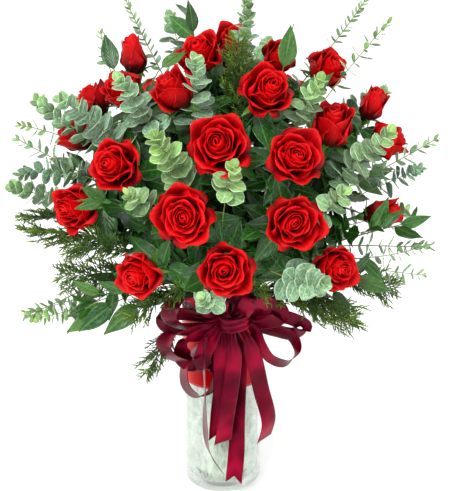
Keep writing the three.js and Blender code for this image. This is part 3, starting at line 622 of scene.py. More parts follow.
def crinkled_film():
    """Crumpled cellophane, blown film: noise patches of painted shade and highlight from grey-green to
    white, and a painted highlight on each crease.
    """
    material, tree = blank("cellophane_crumpled")
    spot = put(tree, "TexCoord")["Object"]
    slant = put(tree, "Mapping", {0: spot, 2: (0.5, 0.35, 0.2), 3: (1.0, 1.0, 0.4)})[0]
    warp = put(tree, "TexNoise", {"Vector": slant, "Scale": 150.0, "Detail": 4.0})
    bent = put(tree, "Mix", {0: 0.02, 4: slant, 5: warp[1]}, data_type="VECTOR")[1]
    # creases enclose facets some 15 mm across, drawn broader than the real folds
    facets = put(tree, "TexVoronoi", {"Vector": bent, "Scale": 66.0},
                 feature="DISTANCE_TO_EDGE")[0]
    # painted shade and highlight: the crumples' shading, as noise patches from grey-green to white
    colour = put(tree, "ValToRGB", {0: warp[0]}, stops=[
        (0.34, "#c2d0c2"), (0.5, "#dde6da"), (0.66, "#f8fbf6")])[0]
    # painted highlight: a white line along each crease
    painted_crease_highlight = put(tree, "MapRange", {0: facets, 1: 0.0, 2: 0.13, 3: 0.9, 4: 0.0})[0]
    colour = put(tree, "Mix", {0: painted_crease_highlight, 6: colour, 7: linear("#ffffff")},
                 data_type="RGBA")[2]
    height = put(tree, "Math", {0: facets, 1: warp[0]}, operation="ADD")[0]
    bump = put(tree, "Bump", {"Strength": 0.8, "Distance": 0.003, "Height": height})[0]
    finish_with(tree, {
        "Base Color": colour, "Roughness": 0.16, "Normal": bump, "IOR": 1.47,
        "Transmission Weight": 0.1, "Specular IOR Level": 0.7,
    })
    return material


def painted_floor():
    """A studio floor: matt white paint, rolled on."""
    material, tree = blank("paint_matt_white")
    spot = put(tree, "TexCoord")["Object"]
    stipple = put(tree, "TexNoise", {"Vector": spot, "Scale": 900.0, "Detail": 2.0})[0]
    bump = put(tree, "Bump", {"Strength": 0.05, "Distance": 0.0003, "Height": stipple})[0]
    finish_with(tree, {
        "Base Color": linear("#fcfcfc"), "Roughness": 0.8, "Normal": bump,
        "Emission Color": linear("#ffffff"), "Emission Strength": 0.2,
    })
    return material


PETAL = rose_petal()
# Eucalyptus: a waxy bloom on the leaf makes it matt and silvery.
SILVER_LEAF = leaf_skin(
    "eucalyptus_leaf_waxy",
    [(0.28, "#4c7c60"), (0.5, "#7fab8e"), (0.72, "#bcd8c2")],
    "#dceacf", "#c4dcae", "#9ccc20", "#8b8f55", 0.48, 0.0, 5)
# Ruscus and rose leaves: a smooth cuticle, deep green and glossy.
GREEN_LEAF = leaf_skin(
    "leaf_glossy_green",
    [(0.25, "#042808"), (0.5, "#0f4812"), (0.75, "#2c7822")],
    "#3c8432", "#5a9c42", "#8dbb3a", "#44702a", 0.3, 0.2, 8)
# Cedar: tiny overlapping scales, dull green with yellow-green tips.
CEDAR_LEAF = leaf_skin(
    "cedar_scale_leaf",
    [(0.25, "#0e2c0a"), (0.5, "#234c14"), (0.75, "#467824")],
    "#2e5a1a", "#2e5a1a", "#b8d838", "#3a4a1c", 0.5, 0.0, 14)
# each satin's dark and light colours are painted shade and highlight round its middle colour
WINE_SATIN = satin("satin_ribbon_wine", "#2a0009", "#500015", "#a0062e", "#f03c68")
RED_SATIN = satin("satin_ribbon_red", "#a80008", "#cc020a", "#ea0a16", "#ff2030")
GLASS = clear_glass()
FILM_SKIN = crinkled_film()


# ---------------------------------------------------------------- stems

def settle_neck(ends):
    """Where each stem passes the rim: under its own lean, then parted until none touch."""
    rim = np.array([0, 0, NECK_Z])
    necks = []
    for end in ends:
        way = end - rim
        lean = math.acos(way[2] / np.linalg.norm(way)) / (math.pi / 2)
        necks.append(unit(way[:2]) * BUNDLE["radius"] * min(1, lean ** 0.7))
    necks = np.array(necks)
    for _ in range(400):
        for i in range(len(necks)):
            for j in range(i + 1, len(necks)):
                dx, dy = necks[j] - necks[i]
                gap = math.hypot(dx, dy)
                if gap >= BUNDLE["spacing"]:
                    continue
                push = (BUNDLE["spacing"] - gap) / 2 / gap
                necks[i] -= (dx * push, dy * push)
                necks[j] += (dx * push, dy * push)
            reach = math.hypot(*necks[i])
            if reach > BUNDLE["radius"]:
                necks[i] *= BUNDLE["radius"] / reach
    return np.column_stack([necks[:, 0], necks[:, 1] + BUNDLE["y"], np.full(len(necks), NECK_Z)])


def stem_path(neck, end, arrive, rise, sway=0.0):
    """A stem's centre line: upright in the vase, then one smooth bend to its end."""
    span = np.linalg.norm(end - neck)
    sideways = unit([neck[1] - end[1], end[0] - neck[0], 0])
    first = np.array([neck[0] * 1.5, neck[1] * 1.5, neck[2] + span * rise]) + sideways * sway * 0.6
    second = end - arrive * span * 0.35 + sideways * sway
    t = np.linspace(0, 1, 28)[:, None]
    bend = (1 - t) ** 3 * neck + 3 * t * (1 - t) ** 2 * first
    bend = bend + 3 * t * t * (1 - t) * second + t ** 3 * end
    return Path(np.vstack([[neck[0], neck[1], FOOT_Z], bend]))


def grow_stem(cutting, path, foot_radius, tip_radius, sides=7, fresh=0.0):
    """The stem itself, tapering to its tip, with a slight swelling at each node."""
    s = np.linspace(0, path.length, 44)
    radii = mix(foot_radius, tip_radius, s / path.length) * (1 + 0.1 * (np.arange(44) % 6 == 0))
    cutting.tube(path.at(s), radii, sides, fresh=fresh)


# ---------------------------------------------------------------- leaves

def blade(foot, way, side, length, half_width, bend=0.0, cup=0.0, wave=0.0, phase=0.0):
    """A leaf as a grid of points. half_width gives each row's half width; bend curls it up."""
    rows = len(half_width)
    u = np.linspace(-1, 1, 7)[None, :, None]
    face = np.cross(way, side)
    step = length / (rows - 1)
    angle = bend * np.linspace(0, 1, rows)
    run = np.r_[0, np.cumsum(np.cos(angle[1:]))] * step
    rise = np.r_[0, np.cumsum(np.sin(angle[1:]))] * step
    middle = foot + np.outer(run, way) + np.outer(rise, face)
    normal = np.outer(np.cos(angle), face) - np.outer(np.sin(angle), way)
    half = half_width[:, None, None]
    ruffle = wave * np.sin(np.arange(rows) * 1.4 + phase)[:, None, None] * u * u * np.sign(u)
    lift = cup * half * u * u + ruffle
    return middle[:, None, :] + side * (u * half) + normal[:, None, :] * lift


def round_half(length, width=0.94, rows=9):
    """Half widths of a nearly round leaf."""
    t = np.linspace(0, 1, rows)
    return width * length / 2 * np.maximum(np.sin(math.pi * t ** 0.92), 0.0) ** 0.62 + 0.25


def pointed_half(length, width=0.42, rows=11):
    """Half widths of a leaf that is fullest below its middle and ends in a point."""
    t = np.linspace(0, 1, rows)
    shape = np.sin(math.pi * t ** 0.78) * (1 - 0.35 * t)
    return width * length / 2 * np.maximum(shape, 0) * 1.12 + 0.25


def oval_half(length, width=0.4, rows=7):
    """Half widths of a narrow oval leaf."""
    t = np.linspace(0, 1, rows)
    return width * length / 2 * np.maximum(np.sin(math.pi * t), 0) ** 0.75 + 0.2


def toothed_half(length, width=0.66, rows=13):
    """Half widths of a rose leaflet with its toothed edge."""
    shape = pointed_half(length, width, rows)
    teeth = 1 + 0.09 * np.where(np.arange(rows) % 2, 1, -1)
    return shape * teeth


def leafy_eucalyptus(cutting, path, start, leaf, fresh, rng, narrow=False):
    """Opposite pairs of leaves, each pair a quarter turn round from the last."""
    s = start
    number = 0
    while s < path.length - 1:
        up = (s - start) / max(path.length - start, 1)
        foot, way = path.at(s), path.way(s)
        sideways = square_to(np.cross([0, 0, 1], way) + [1e-3, 0, 0], way)
        sideways = turned(sideways, way, (number % 2) * math.pi / 2 + 0.8 + rng.normal(0, 0.15))
        size = leaf * mix(1.0, 0.42, up ** 1.6) * rng.uniform(0.86, 1.08)
        tint = np.clip(fresh * (0.45 + 0.7 * up) + 1.8 * max(0, up - 0.8), 0, 1)
        for hand in (1, -1):
            tilt = mix(0.14, 1.1, up ** 3) + rng.normal(0, 0.12)
            out = unit(sideways * hand + way * tilt)
            aside = np.cross(way, sideways) * hand
            aside = turned(aside, out, rng.normal(0, 0.22))
            if in_bloom(foot + out * size * 0.8):
                continue
            half = oval_half(size, 0.42) if narrow else round_half(size)
            grid = blade(foot + out * 0.8, out, aside, size, half, bend=rng.uniform(-0.1, 0.45),
                         cup=rng.uniform(0.05, 0.22), wave=size * 0.02, phase=rng.uniform(0, 6))
            cutting.sheet(grid, 0.5, rng.uniform(), tint)
        s += size * (0.58 if narrow else 0.36) * rng.uniform(0.9, 1.15)
        number += 1


def leafy_ruscus(cutting, path, start, leaf, fresh, rng):
    """Pointed leaves on alternate sides, and one more at the tip."""
    s = start
    hand = 1
    while s < path.length - leaf * 0.45:
        up = (s - start) / max(path.length - start, 1)
        size = leaf * mix(1.0, 0.62, up) * rng.uniform(0.88, 1.08)
        foot, way = path.at(s), path.way(s)
        out_of = square_to(outward(foot) + rng.normal(0, 0.3, 3), way)
        sideways = np.cross(out_of, way) * hand
        out = unit(sideways + way * mix(0.7, 1.2, up) + out_of * rng.normal(0.1, 0.15))
        aside = turned(np.cross(out_of, out), out, rng.normal(0, 0.3))
        grid = blade(foot + out, out, square_to(aside, out), size, pointed_half(size),
                     bend=rng.uniform(-0.7, -0.1), cup=rng.uniform(0.1, 0.3), wave=0.8,
                     phase=rng.uniform(0, 6))
        if not in_bloom(foot + out * size * 0.9, foot + out * size * 0.5):
            cutting.sheet(grid, 0.6, rng.uniform(), fresh)
        s += leaf * 0.24 * rng.uniform(0.9, 1.1)
        hand = -hand
    size = leaf * 0.75
    root = path.length - size * 0.9
    way = path.way(root, 3.0)
    aside = square_to(np.cross(outward(path.at(root)) + [0.3, -0.8, 0], way), way)
    grid = blade(path.at(root), way, aside, size, pointed_half(size), -0.2, 0.2, 0.6)
    cutting.sheet(grid, 0.6, rng.uniform(), fresh)


def lone_leaf(cutting, path, size, fresh, rng):
    """One long pointed leaf that ends its stem."""
    foot, way = path.at(path.length - size), path.way(path.length - size / 2, size / 2)
    aside = square_to(np.cross(outward(foot) + [0.3, -0.8, 0], way), way)
    grid = blade(foot, way, aside, size, pointed_half(size, 0.46), -0.3, 0.25, 0.8)
    cutting.sheet(grid, 0.6, rng.uniform(0.3, 0.7), fresh)


def leafy_cedar(cutting, path, start, reach, fresh, rng):
    """A loose spray: side branches all along, each crowded with its own scaly branchlets."""
    turn = rng.normal(0, 0.35)
    s = start
    hand = 1
    while s < path.length:
        up = (s - start) / max(path.length - start, 1)
        foot, way = path.at(s), path.way(s)
        out_of = turned(square_to(outward(foot), way), way, turn + rng.normal(0, 0.3))
        sideways = np.cross(out_of, way) * hand
        out = unit(sideways + way * rng.uniform(0.9, 1.6) + out_of * rng.normal(0, 0.4))
        length = reach * (math.sin(math.pi * min(up * 0.8 + 0.2, 1)) * 0.8 + 0.2)
        length = length * rng.uniform(0.55, 1.15)
        tone = rng.uniform()
        k = np.linspace(0, 1, 6)[:, None]
        sag = np.array([0, 0, -1]) * length * rng.uniform(0, 0.15)
        twig = Path(foot + out * length * k + (way * length * 0.2 + sag) * k * k)
        s += rng.uniform(2.6, 5.0)
        hand = -hand
        if in_bloom(twig.points[-1], twig.points[3]):
            continue
        scaly_twig(cutting, twig.at(np.linspace(0, twig.length, 9)), 1.0, tone, fresh, up)
        twigs = max(int(length / 2.6), 2)
        for i in range(twigs):
            place = (i + rng.uniform(0.2, 1.0)) / twigs
            root = twig.at(place * twig.length)
            flat = np.cross(out_of, out) * (1 if i % 2 else -1) * rng.uniform(0.35, 1.0)
            tip = unit(flat + out * 1.2 + out_of * rng.normal(0, 0.55))
            small = 12 * (1 - 0.45 * place) * rng.uniform(0.55, 1.25)
            line = root + tip * small * k + out * small * 0.3 * k * k
            scaly_twig(cutting, line, 1.15, tone, fresh, max(up, place))
            fork = unit(tip + rng.normal(0, 0.5, 3))
            scaly_twig(cutting, line[2] + fork * small * 0.5 * k[:5], 1.0, tone, fresh, place)


def scaly_twig(cutting, centres, radius, tone, fresh, up):
    """One branchlet, whose rings swell and pinch as its scales overlap."""
    n = len(centres)
    radii = radius * (0.7 + 0.5 * (np.arange(n) % 2)) * np.linspace(1, 0.45, n)
    tint = np.clip(fresh * 0.25 + 0.5 * up ** 4, 0, 1)
    cutting.tube(centres, radii, 4, tone, tint, wood=0.0)


def compound_leaf(cutting, foot, way, out_of, size, rng):
    """A rose leaf: a short stalk with five toothed leaflets."""
    aside = square_to(np.cross(out_of, way), way)
    tone = rng.uniform(0, 1)
    k = np.linspace(0, 1, 7)[:, None]
    stalk = Path(foot + way * size * k + out_of * size * 0.12 * np.sin(k * 3))
    cutting.tube(stalk.points, 0.7, 5, tone, 0.2)
    places = [(1.0, 0), (0.68, 1), (0.68, -1), (0.36, 1), (0.36, -1)]
    for place, hand in places:
        root = stalk.at(place * stalk.length)
        out = unit(way * (1 if hand == 0 else 0.55) + aside * hand + rng.normal(0, 0.08, 3))
        length = size * (0.72 if hand == 0 else 0.56) * rng.uniform(0.9, 1.1)
        across = square_to(np.cross(out_of + rng.normal(0, 0.18, 3), out), out)
        grid = blade(root, out, across, length, toothed_half(length), bend=rng.uniform(-0.5, 0),
                     cup=rng.uniform(0.05, 0.3), wave=0.7, phase=rng.uniform(0, 6))
        cutting.sheet(grid, 0.5, tone, 0.1)


# ---------------------------------------------------------------- roses

def petal(s, opened, rng):
    """One petal round +Z in bloom radii. s is 0 at the heart and 1 on the outside."""
    rows, cols = 16, 17
    v = np.linspace(0, 1, rows)[:, None]
    u = np.linspace(-1, 1, cols)[None, :]
    loose = smooth(0.35, 0.75, s)
    spread = mix(0.8 * s, 0.27 + 1.46 * (s - 0.5), smooth(0.35, 0.65, s))
    tip_r = 0.06 + (0.28 + 0.62 * opened) * spread * (1 + loose * rng.uniform(-0.12, 0.08))
    tip_z = mix(0.62, 0.28, opened) - s ** 1.6 * (0.06 + 0.40 * opened)
    tip_z = tip_z + loose * rng.normal(0, 0.05)
    base, tip = np.array([0.10, -0.88]), np.array([tip_r, tip_z])
    reach = np.linalg.norm(tip - base) * 0.42
    leave = math.radians(mix(28, mix(45, 82, opened), s ** 0.7))
    arrive = math.radians(mix(-26, mix(-12, 34, opened), s))
    t = np.linspace(0, 1, 50)[:, None]
    first = base + reach * np.array([math.sin(leave), math.cos(leave)])
    second = tip - reach * np.array([math.sin(arrive), math.cos(arrive)])
    rib = (1 - t) ** 3 * base + 3 * t * (1 - t) ** 2 * first
    rib = rib + 3 * t * t * (1 - t) * second + t ** 3 * tip
    # the rim rolls outward and down, least at the petal's point and most beside it
    roll = math.radians(mix(8, mix(50, 165, opened), s ** 1.1)) * rng.uniform(0.75, 1.15)
    rim = mix(0.06, 0.22, s) * rng.uniform(0.85, 1.2)
    k = np.linspace(0, 1, 14)[1:, None]
    r, z, tr, tz = (np.zeros((rows, cols)) for _ in range(4))
    drop = mix(0.17, 0.33, s) * np.abs(u[0]) ** 1.8
    lean = rng.normal(0, 0.12)
    for j in range(cols):
        held = 1 - 0.72 * s * math.exp(-((u[0, j] - lean) / 0.3) ** 2)
        angle = arrive + roll * held * k
        curl = tip + np.cumsum(np.hstack([np.sin(angle), np.cos(angle)]) * rim / 13, axis=0)
        line = np.vstack([rib, curl])
        marks = np.r_[0, np.cumsum(np.linalg.norm(np.diff(line, axis=0), axis=1))]
        point = 0.08 * s * math.exp(-((u[0, j] - lean) / 0.2) ** 2)
        along = v[:, 0] * marks[-1] * (1 - drop[j] - 0.05 * s + point * v[:, 0])
        r[:, j] = np.interp(along, marks, line[:, 0])
        z[:, j] = np.interp(along, marks, line[:, 1])
        tr[:, j] = np.interp(along + 1e-3, marks, line[:, 0]) - np.interp(along - 1e-3, marks, line[:, 0])
        tz[:, j] = np.interp(along + 1e-3, marks, line[:, 1]) - np.interp(along - 1e-3, marks, line[:, 1])
    size = np.hypot(tr, tz) + 1e-9
    out_r, out_z = tz / size, -tr / size
    width = mix(0.46, 0.86, s) * rng.uniform(0.92, 1.06)
    width = width * (0.32 + 0.68 * np.sin(np.minimum(v / 0.7, 1) * math.pi / 2))
    width = width * (1 - 0.2 * np.clip((v - 0.7) / 0.3, 0, 1) ** 2)
    # each row wraps the heart, then its ends turn outward
    wrap = np.maximum(r[:, cols // 2:cols // 2 + 1], 0.11) * mix(1.0, 1.12, s)
    flare = math.radians(mix(0, mix(20, 70, opened), s)) * smooth(0.35, 0.9, v)
    q = np.linspace(0, 1, 24)[None, :]
    bend = -q * width / wrap + smooth(0.55, 1.0, q) * (flare + 0.35 * width / wrap * s)
    step = width / 23
    a = np.concatenate([np.zeros((rows, 1)), np.cumsum(np.cos(bend[:, 1:]) * step, axis=1)], axis=1)
    b = np.concatenate([np.zeros((rows, 1)), np.cumsum(np.sin(bend[:, 1:]) * step, axis=1)], axis=1)
    aside = np.stack([np.sign(u[0]) * np.interp(np.abs(u[0]), q[0], a[i]) for i in range(rows)])
    out = np.stack([np.interp(np.abs(u[0]), q[0], b[i]) for i in range(rows)])
    out = out + mix(0.055, 0.035, s) * u * smooth(0, 0.3, v) * (1 + 0.6 * np.abs(aside))
    wave = np.sin(u * rng.uniform(4, 7) + rng.uniform(0, 6)) * smooth(0.55, 1, v)
    out = out + mix(0.006, 0.03, s) * wave
    return np.stack([r + out * out_r, aside, z + out * out_z], axis=-1)


GOLDEN = math.radians(137.5)  # from one petal to the next


def bloom(cutting, rose, rng):
    """Every petal of one rose, from the coiled heart out."""
    look = facing(rose["face"])
    side = unit(np.cross([0, 0, 1], look))
    up = np.cross(look, side)
    scale = BLOOM_RADIUS * rose["size"]
    petals = round(mix(14, 23, rose["open"]))
    start = rng.uniform(0, 2 * math.pi)
    # the heart is squeezed one way and stands a little off the middle
    squeeze = rng.uniform(0.08, 0.24)
    squeezed = rng.uniform(0, math.pi)
    drift = rng.normal(0, 0.06, 2)
    youth = 0.45 * (1 - smooth(0.4, 0.75, rose["open"]))
    for i in range(petals):
        s = i / (petals - 1)
        grid = petal(s, rose["open"], rng)
        turn = start + i * GOLDEN + rng.normal(0, 0.1)
        c, w = math.cos(turn), math.sin(turn)
        x = c * grid[..., 0] - w * grid[..., 1]
        y = w * grid[..., 0] + c * grid[..., 1]
        c, w = math.cos(squeezed), math.sin(squeezed)
        long, short = (c * x + w * y) * (1 + squeeze * (1 - s)), (c * y - w * x) * (1 - squeeze * (1 - s))
        inside = (1 - s) ** 0.7
        x = c * long - w * short + drift[0] * inside + rng.normal(0, 0.018)
        y = w * long + c * short + drift[1] * inside + rng.normal(0, 0.018)
        placed = x[..., None] * side + y[..., None] * up + grid[..., 2:] * look
        cutting.sheet(placed * scale + np.array(rose["at"]), 0.45, rng.uniform(0, 0.55) + youth, s)


def calyx(cutting, rose, rng):
    """The green hip under a bloom, and its five sepals."""
    look = facing(rose["face"])
    scale = rose["size"]
    foot = np.array(rose["at"]) - look * BLOOM_DEPTH * scale
    depth = np.array([-7, -4, 0, 4, 8, 11])[:, None]
    cutting.tube(foot + look * depth * scale, np.array([2.9, 4.6, 6.4, 7.2, 6.8, 5.2]) * scale, 10,
                 fresh=0.3)
    side = unit(np.cross([0, 0, 1], look))
    for i in range(5):
        out = turned(side, look, i * 2 * math.pi / 5 + rng.normal(0, 0.1))
        way = unit(out * 1.0 + look * rng.uniform(0.1, 0.9))
        aside = np.cross(look, out)
        length = 30 * scale * rng.uniform(0.85, 1.15)
        grid = blade(foot + look * 7 * scale + out * 5.5 * scale, way, aside, length,
                     pointed_half(length, 0.26), bend=rng.uniform(-1.3, 0.1), cup=0.3)
        cutting.sheet(grid, 0.6, rng.uniform(0.5, 1), 0.35)


def over_bow(p):
    """Whether a leaf's tip would hang in front of the bow."""
    return abs(p[0]) < 140 and p[1] < -62 and p[2] < 362


def rose_greenery(cutting, rose, path, rng):
    """A collar of broad leaves behind the bloom, and compound leaves down the stem."""
    look = facing(rose["face"])
    for i in range(9):
        s = path.length - rng.uniform(16, 70)
        foot, way = path.at(s), path.way(s)
        out = turned(square_to([0, 0.3, 1], look), look, i * GOLDEN + rng.normal(0, 0.2))
        out = unit(out + look * rng.uniform(-0.15, 0.3))
        size = rng.uniform(50, 72)
        if over_bow(foot + out * size) or in_bloom(foot + out * size, foot + out * size * 0.7):
            continue
        aside = square_to(np.cross(look + rng.normal(0, 0.25, 3), out), out)
        grid = blade(foot + out, out, aside, size, pointed_half(size, 0.5),
                     bend=rng.uniform(-0.7, 0.1), cup=rng.uniform(0.1, 0.35), wave=1.0,
                     phase=rng.uniform(0, 6))
        cutting.sheet(grid, 0.6, rng.uniform(), 0.05)
    above_neck = NECK_Z - FOOT_Z
    for i in range(7):
        s = mix(above_neck + 60, path.length - 45, (i + 0.3) / 7)
        foot, way = path.at(s), path.way(s)
        out_of = unit(outward(foot) + rng.normal(0, 0.35, 3))
        out = turned(square_to([0, 0.3, 1], way), way, i * GOLDEN + rng.normal(0, 0.4))
        out = unit(out + way * 0.35 + out_of * 0.5)
        size = rng.uniform(48, 64)
        tip = foot + out * size * 1.5
        if not over_bow(tip + [0, 0, -15]) and not in_bloom(tip, foot + out * size):
            compound_leaf(cutting, foot, out, square_to(out_of, out), size, rng)


# ---------------------------------------------------------------- flowers and foliage

def two_digits(i):
    return f"{i + 1:02d}"


SPRIG_KINDS = [("eucalyptus", EUCALYPTUS), ("ruscus", RUSCUS), ("cedar", CEDAR)]
ends = [np.array(rose["at"]) - facing(rose["face"]) * (BLOOM_DEPTH * rose["size"] - 4)
        for rose in ROSES]
ends += [np.array(sprig["tip"], float) for _, plan in SPRIG_KINDS for sprig in plan]
necks = settle_neck(ends)

for i, rose in enumerate(ROSES):
    rng = np.random.default_rng(100 + i)
    petals, green = Cutting(), Cutting()
    bloom(petals, rose, rng)
    petals.piece(f"rose_{two_digits(i)}_bloom", PETAL, "rose_petal", f"rose_{two_digits(i)}")
    path = stem_path(necks[i], ends[i], facing(rose["face"]), 0.3)
    grow_stem(green, path, 2.9, 2.4, fresh=0.1)
    calyx(green, rose, rng)
    rose_greenery(green, rose, path, rng)
    green.piece(f"rose_{two_digits(i)}_stem", GREEN_LEAF, "green_leaf", f"rose_{two_digits(i)}")

# which of the planned eucalyptus sprigs are the narrow-leaved sort
NARROW = {1, 3, 5, 7, 8, 9}
RUSCUS_LEAFY = [130, 110, 48, 130]  # how much of each ruscus stem's end is leafy, in mm
number = len(ROSES)
for kind, plan in SPRIG_KINDS:
    for i, sprig in enumerate(plan):
        rng = np.random.default_rng(300 + number)
        end = ends[number]
        arrive = unit(sprig.get("arrive", end - np.array([0, 0, NECK_Z + 90])))
        path = stem_path(necks[number], end, arrive, sprig["rise"], sprig.get("sway", 0))
        node = f"{kind}_{two_digits(i)}"
        cutting = Cutting()
        grow_stem(cutting, path, 1.7, 0.7)
        in_vase = NECK_Z - FOOT_Z
        start = mix(in_vase, path.length, sprig["bare"])
        if kind == "eucalyptus":
            leafy_eucalyptus(cutting, path, start, min(sprig["leaf"], 36), 0.25, rng, i + 1 in NARROW)
            cutting.piece(f"{node}_sprig", SILVER_LEAF, "silver_leaf", node)
        elif kind == "ruscus":
            start = max(start, path.length - RUSCUS_LEAFY[i])
            leafy_ruscus(cutting, path, start, sprig["leaf"], 0.1, rng)
            cutting.piece(f"{node}_sprig", GREEN_LEAF, "green_leaf", node)
        else:
            leafy_cedar(cutting, path, start, sprig["leaf"], 0.3, rng)
            cutting.piece(f"{node}_spray", CEDAR_LEAF, "cedar_leaf", node)
        number += 1


def free_neck(end, taken, rng):
    """A gap between the stems at the rim, on the side that the sprig leans to."""
    wanted = unit(end[:2]) * BUNDLE["radius"] * 0.8 + [0, BUNDLE["y"]]
    angle, radius = rng.uniform(0, 2 * math.pi, 500), 40 * rng.uniform(0, 1, 500) ** 0.5
    spots = np.column_stack([radius * np.cos(angle), radius * np.sin(angle) + BUNDLE["y"]])
    room = np.min(np.linalg.norm(spots[:, None, :] - np.array(taken)[None, :, :2], axis=2), axis=1)
    roomy = room >= min(4.2, room.max() * 0.95)
    far = np.linalg.norm(spots - wanted, axis=1)
    x, y = spots[np.argmin(np.where(roomy, far, 1e6))]
    return np.array([x, y, NECK_Z])


taken = list(necks)
for i, sprig in enumerate(FILLERS):
    rng = np.random.default_rng(500 + i)
    root, tip = (np.array(p, float) for p in sprig["leafy"])
    neck = free_neck(tip, taken, rng)
    taken.append(neck)
    path = stem_path(neck, tip, unit(tip - root), 0.4)
    start = path.length - np.linalg.norm(tip - root)
    cutting = Cutting()
    grow_stem(cutting, path, 1.3, 0.6, 6)
    name = f"filler_{sprig['kind']}_{two_digits(i)}"
    if sprig["kind"] in ("silver", "baby"):
        narrow = sprig["kind"] == "baby"
        leafy_eucalyptus(cutting, path, start, sprig["leaf"], sprig["fresh"], rng, narrow)
        cutting.piece(name, SILVER_LEAF, "silver_leaf")
    elif sprig["kind"] == "ruscus":
        leafy_ruscus(cutting, path, start, sprig["leaf"], sprig["fresh"], rng)
        cutting.piece(name, GREEN_LEAF, "green_leaf")
    elif sprig["kind"] == "lone":
        lone_leaf(cutting, path, sprig["leaf"], sprig["fresh"], rng)
        cutting.piece(name, GREEN_LEAF, "green_leaf")
    else:
        leafy_cedar(cutting, path, start, sprig["leaf"], sprig["fresh"], rng)
        cutting.piece(name, CEDAR_LEAF, "cedar_leaf")


# ---------------------------------------------------------------- vase, film and band

def lathe(profile, sides, name, material, slot, node):
    """A closed solid turned round +Z from a profile that starts and ends on the axis."""
    turn = np.linspace(0, 2 * math.pi, sides, endpoint=False)
    rows = profile[1:-1]
    points = [[0, 0, profile[0][1]]]
    for r, z in rows:
        points.extend([r * math.cos(a), r * math.sin(a), z] for a in turn)
    points.append([0, 0, profile[-1][1]])
    faces = []
    for k in range(sides):
        after = (k + 1) % sides
        faces.append([0, 1 + after, 1 + k])
        for i in range(len(rows) - 1):
            a, b = 1 + i * sides, 1 + (i + 1) * sides
            faces.append([a + k, a + after, b + after, b + k])
        last = 1 + (len(rows) - 1) * sides
        faces.append([last + k, last + after, len(points) - 1])
    cutting = Cutting()
    zero = np.zeros(len(points))
    cutting.keep(np.array(points, float), faces, zero, zero, zero, tone=0.5, fresh=0.0, wood=0.0)
    return cutting.piece(name, material, slot, node)


def corner(centre_r, centre_z, radius, start, stop, steps=6):
    """Points of a rounded corner, in degrees from the +r axis."""
    angles = np.radians(np.linspace(start, stop, steps))
    return [(centre_r + radius * math.cos(a), centre_z + radius * math.sin(a)) for a in angles]


def make_vase():
    """The glass cylinder, with a hollow under its foot and rounded corners."""
    hollow, bend, dip = 1.2, 8, 1.5  # under the foot, at the inside corner, of the inside floor
    outer, inner = VASE["radius"], VASE["radius"] - VASE["wall"]
    edge, height, floor = VASE["edge"], VASE["height"], VASE["floor"]
    lip = VASE["wall"] / 2
    profile = [(0, hollow), (outer * 0.55, hollow), (outer * 0.6, 0)]
    profile += corner(outer - edge, edge, edge, -90, 0, 9)
    profile += corner(outer - lip, height - lip, lip, 0, 180, 9)
    profile += corner(inner - bend, floor + bend, bend, 0, -90, 7)
    profile.append((0, floor - dip))
    lathe(profile, 120, "vase_glass", GLASS, "clear_glass", "vase")


def crease(x, y, z, rng, count, size):
    """Sharp random folds: ridges of many tilted zigzags added up."""
    total = np.zeros_like(x)
    for _ in range(count):
        way = unit(rng.normal(0, 1, 3) * [1, 1, 0.45])
        place = (x * way[0] + y * way[1] + z * way[2]) / size + rng.uniform(0, 1)
        total += np.abs((place % 1) - 0.5) * 2 - 0.5
        size *= 0.86
    return total / count


def make_film():
    """The film sleeve, crumpled into the glass and folded in at the bottom."""
    rng = np.random.default_rng(7)
    sides, rows = 220, 110
    turn = np.linspace(0, 2 * math.pi, sides + 1)[None, :]
    z = np.linspace(FILM["bottom"], FILM["top"], rows)[:, None]
    middle = (FILM["inner"] + FILM["outer"]) / 2
    swing = (FILM["outer"] - FILM["inner"]) / 2
    x, y, z = np.broadcast_arrays(np.cos(turn) * middle, np.sin(turn) * middle, z)
    fold = crease(x, y, z, rng, count=9, size=46)
    fine = crease(x, y, z, rng, count=7, size=17)
    fold = np.clip(fold * 3.0 + fine * 2.2, -1, 1)
    radius = middle + swing * fold
    radius = radius * (1 - 0.25 * smooth(18, 0, z - FILM["bottom"]))
    grid = np.stack([radius * np.cos(turn), radius * np.sin(turn), z], -1)
    cutting = Cutting()
    cutting.sheet(grid, 0.3)
    film = cutting.piece("film_sleeve_crinkled", FILM_SKIN, "clear_film", "film_sleeve")


def make_band():
    """The wide red ribbon round the top of the vase, lapped at the back."""
    rows = 26
    z = np.linspace(BAND["bottom"], BAND["top"], rows)
    rng = np.random.default_rng(9)
    start, sweep = 78, 372  # degrees: from near the back, once round and a lap
    lap_start, lap_stop = 350, 364  # where the band climbs onto its own end
    turn = np.linspace(math.radians(start), math.radians(start + sweep), 181)[None, :]
    lap = smooth(math.radians(start + lap_start), math.radians(start + lap_stop), turn) * 0.7
    x, y, height = np.broadcast_arrays(
        np.cos(turn) * VASE["radius"], np.sin(turn) * VASE["radius"], z[:, None])
    fold = crease(x, y, height * 2.4, rng, count=5, size=70)
    radius = BAND["radius"] + 0.45 + lap + 0.35 * fold
    grid = np.stack([radius * np.cos(turn), radius * np.sin(turn), height], -1)
    cutting = Cutting()
    cutting.sheet(np.swapaxes(grid, 0, 1), 0.35)
    band = cutting.piece("satin_band_wrap", RED_SATIN, "red_satin", "satin_band")


make_vase()
make_film()
make_band()


# ---------------------------------------------------------------- bow and tails

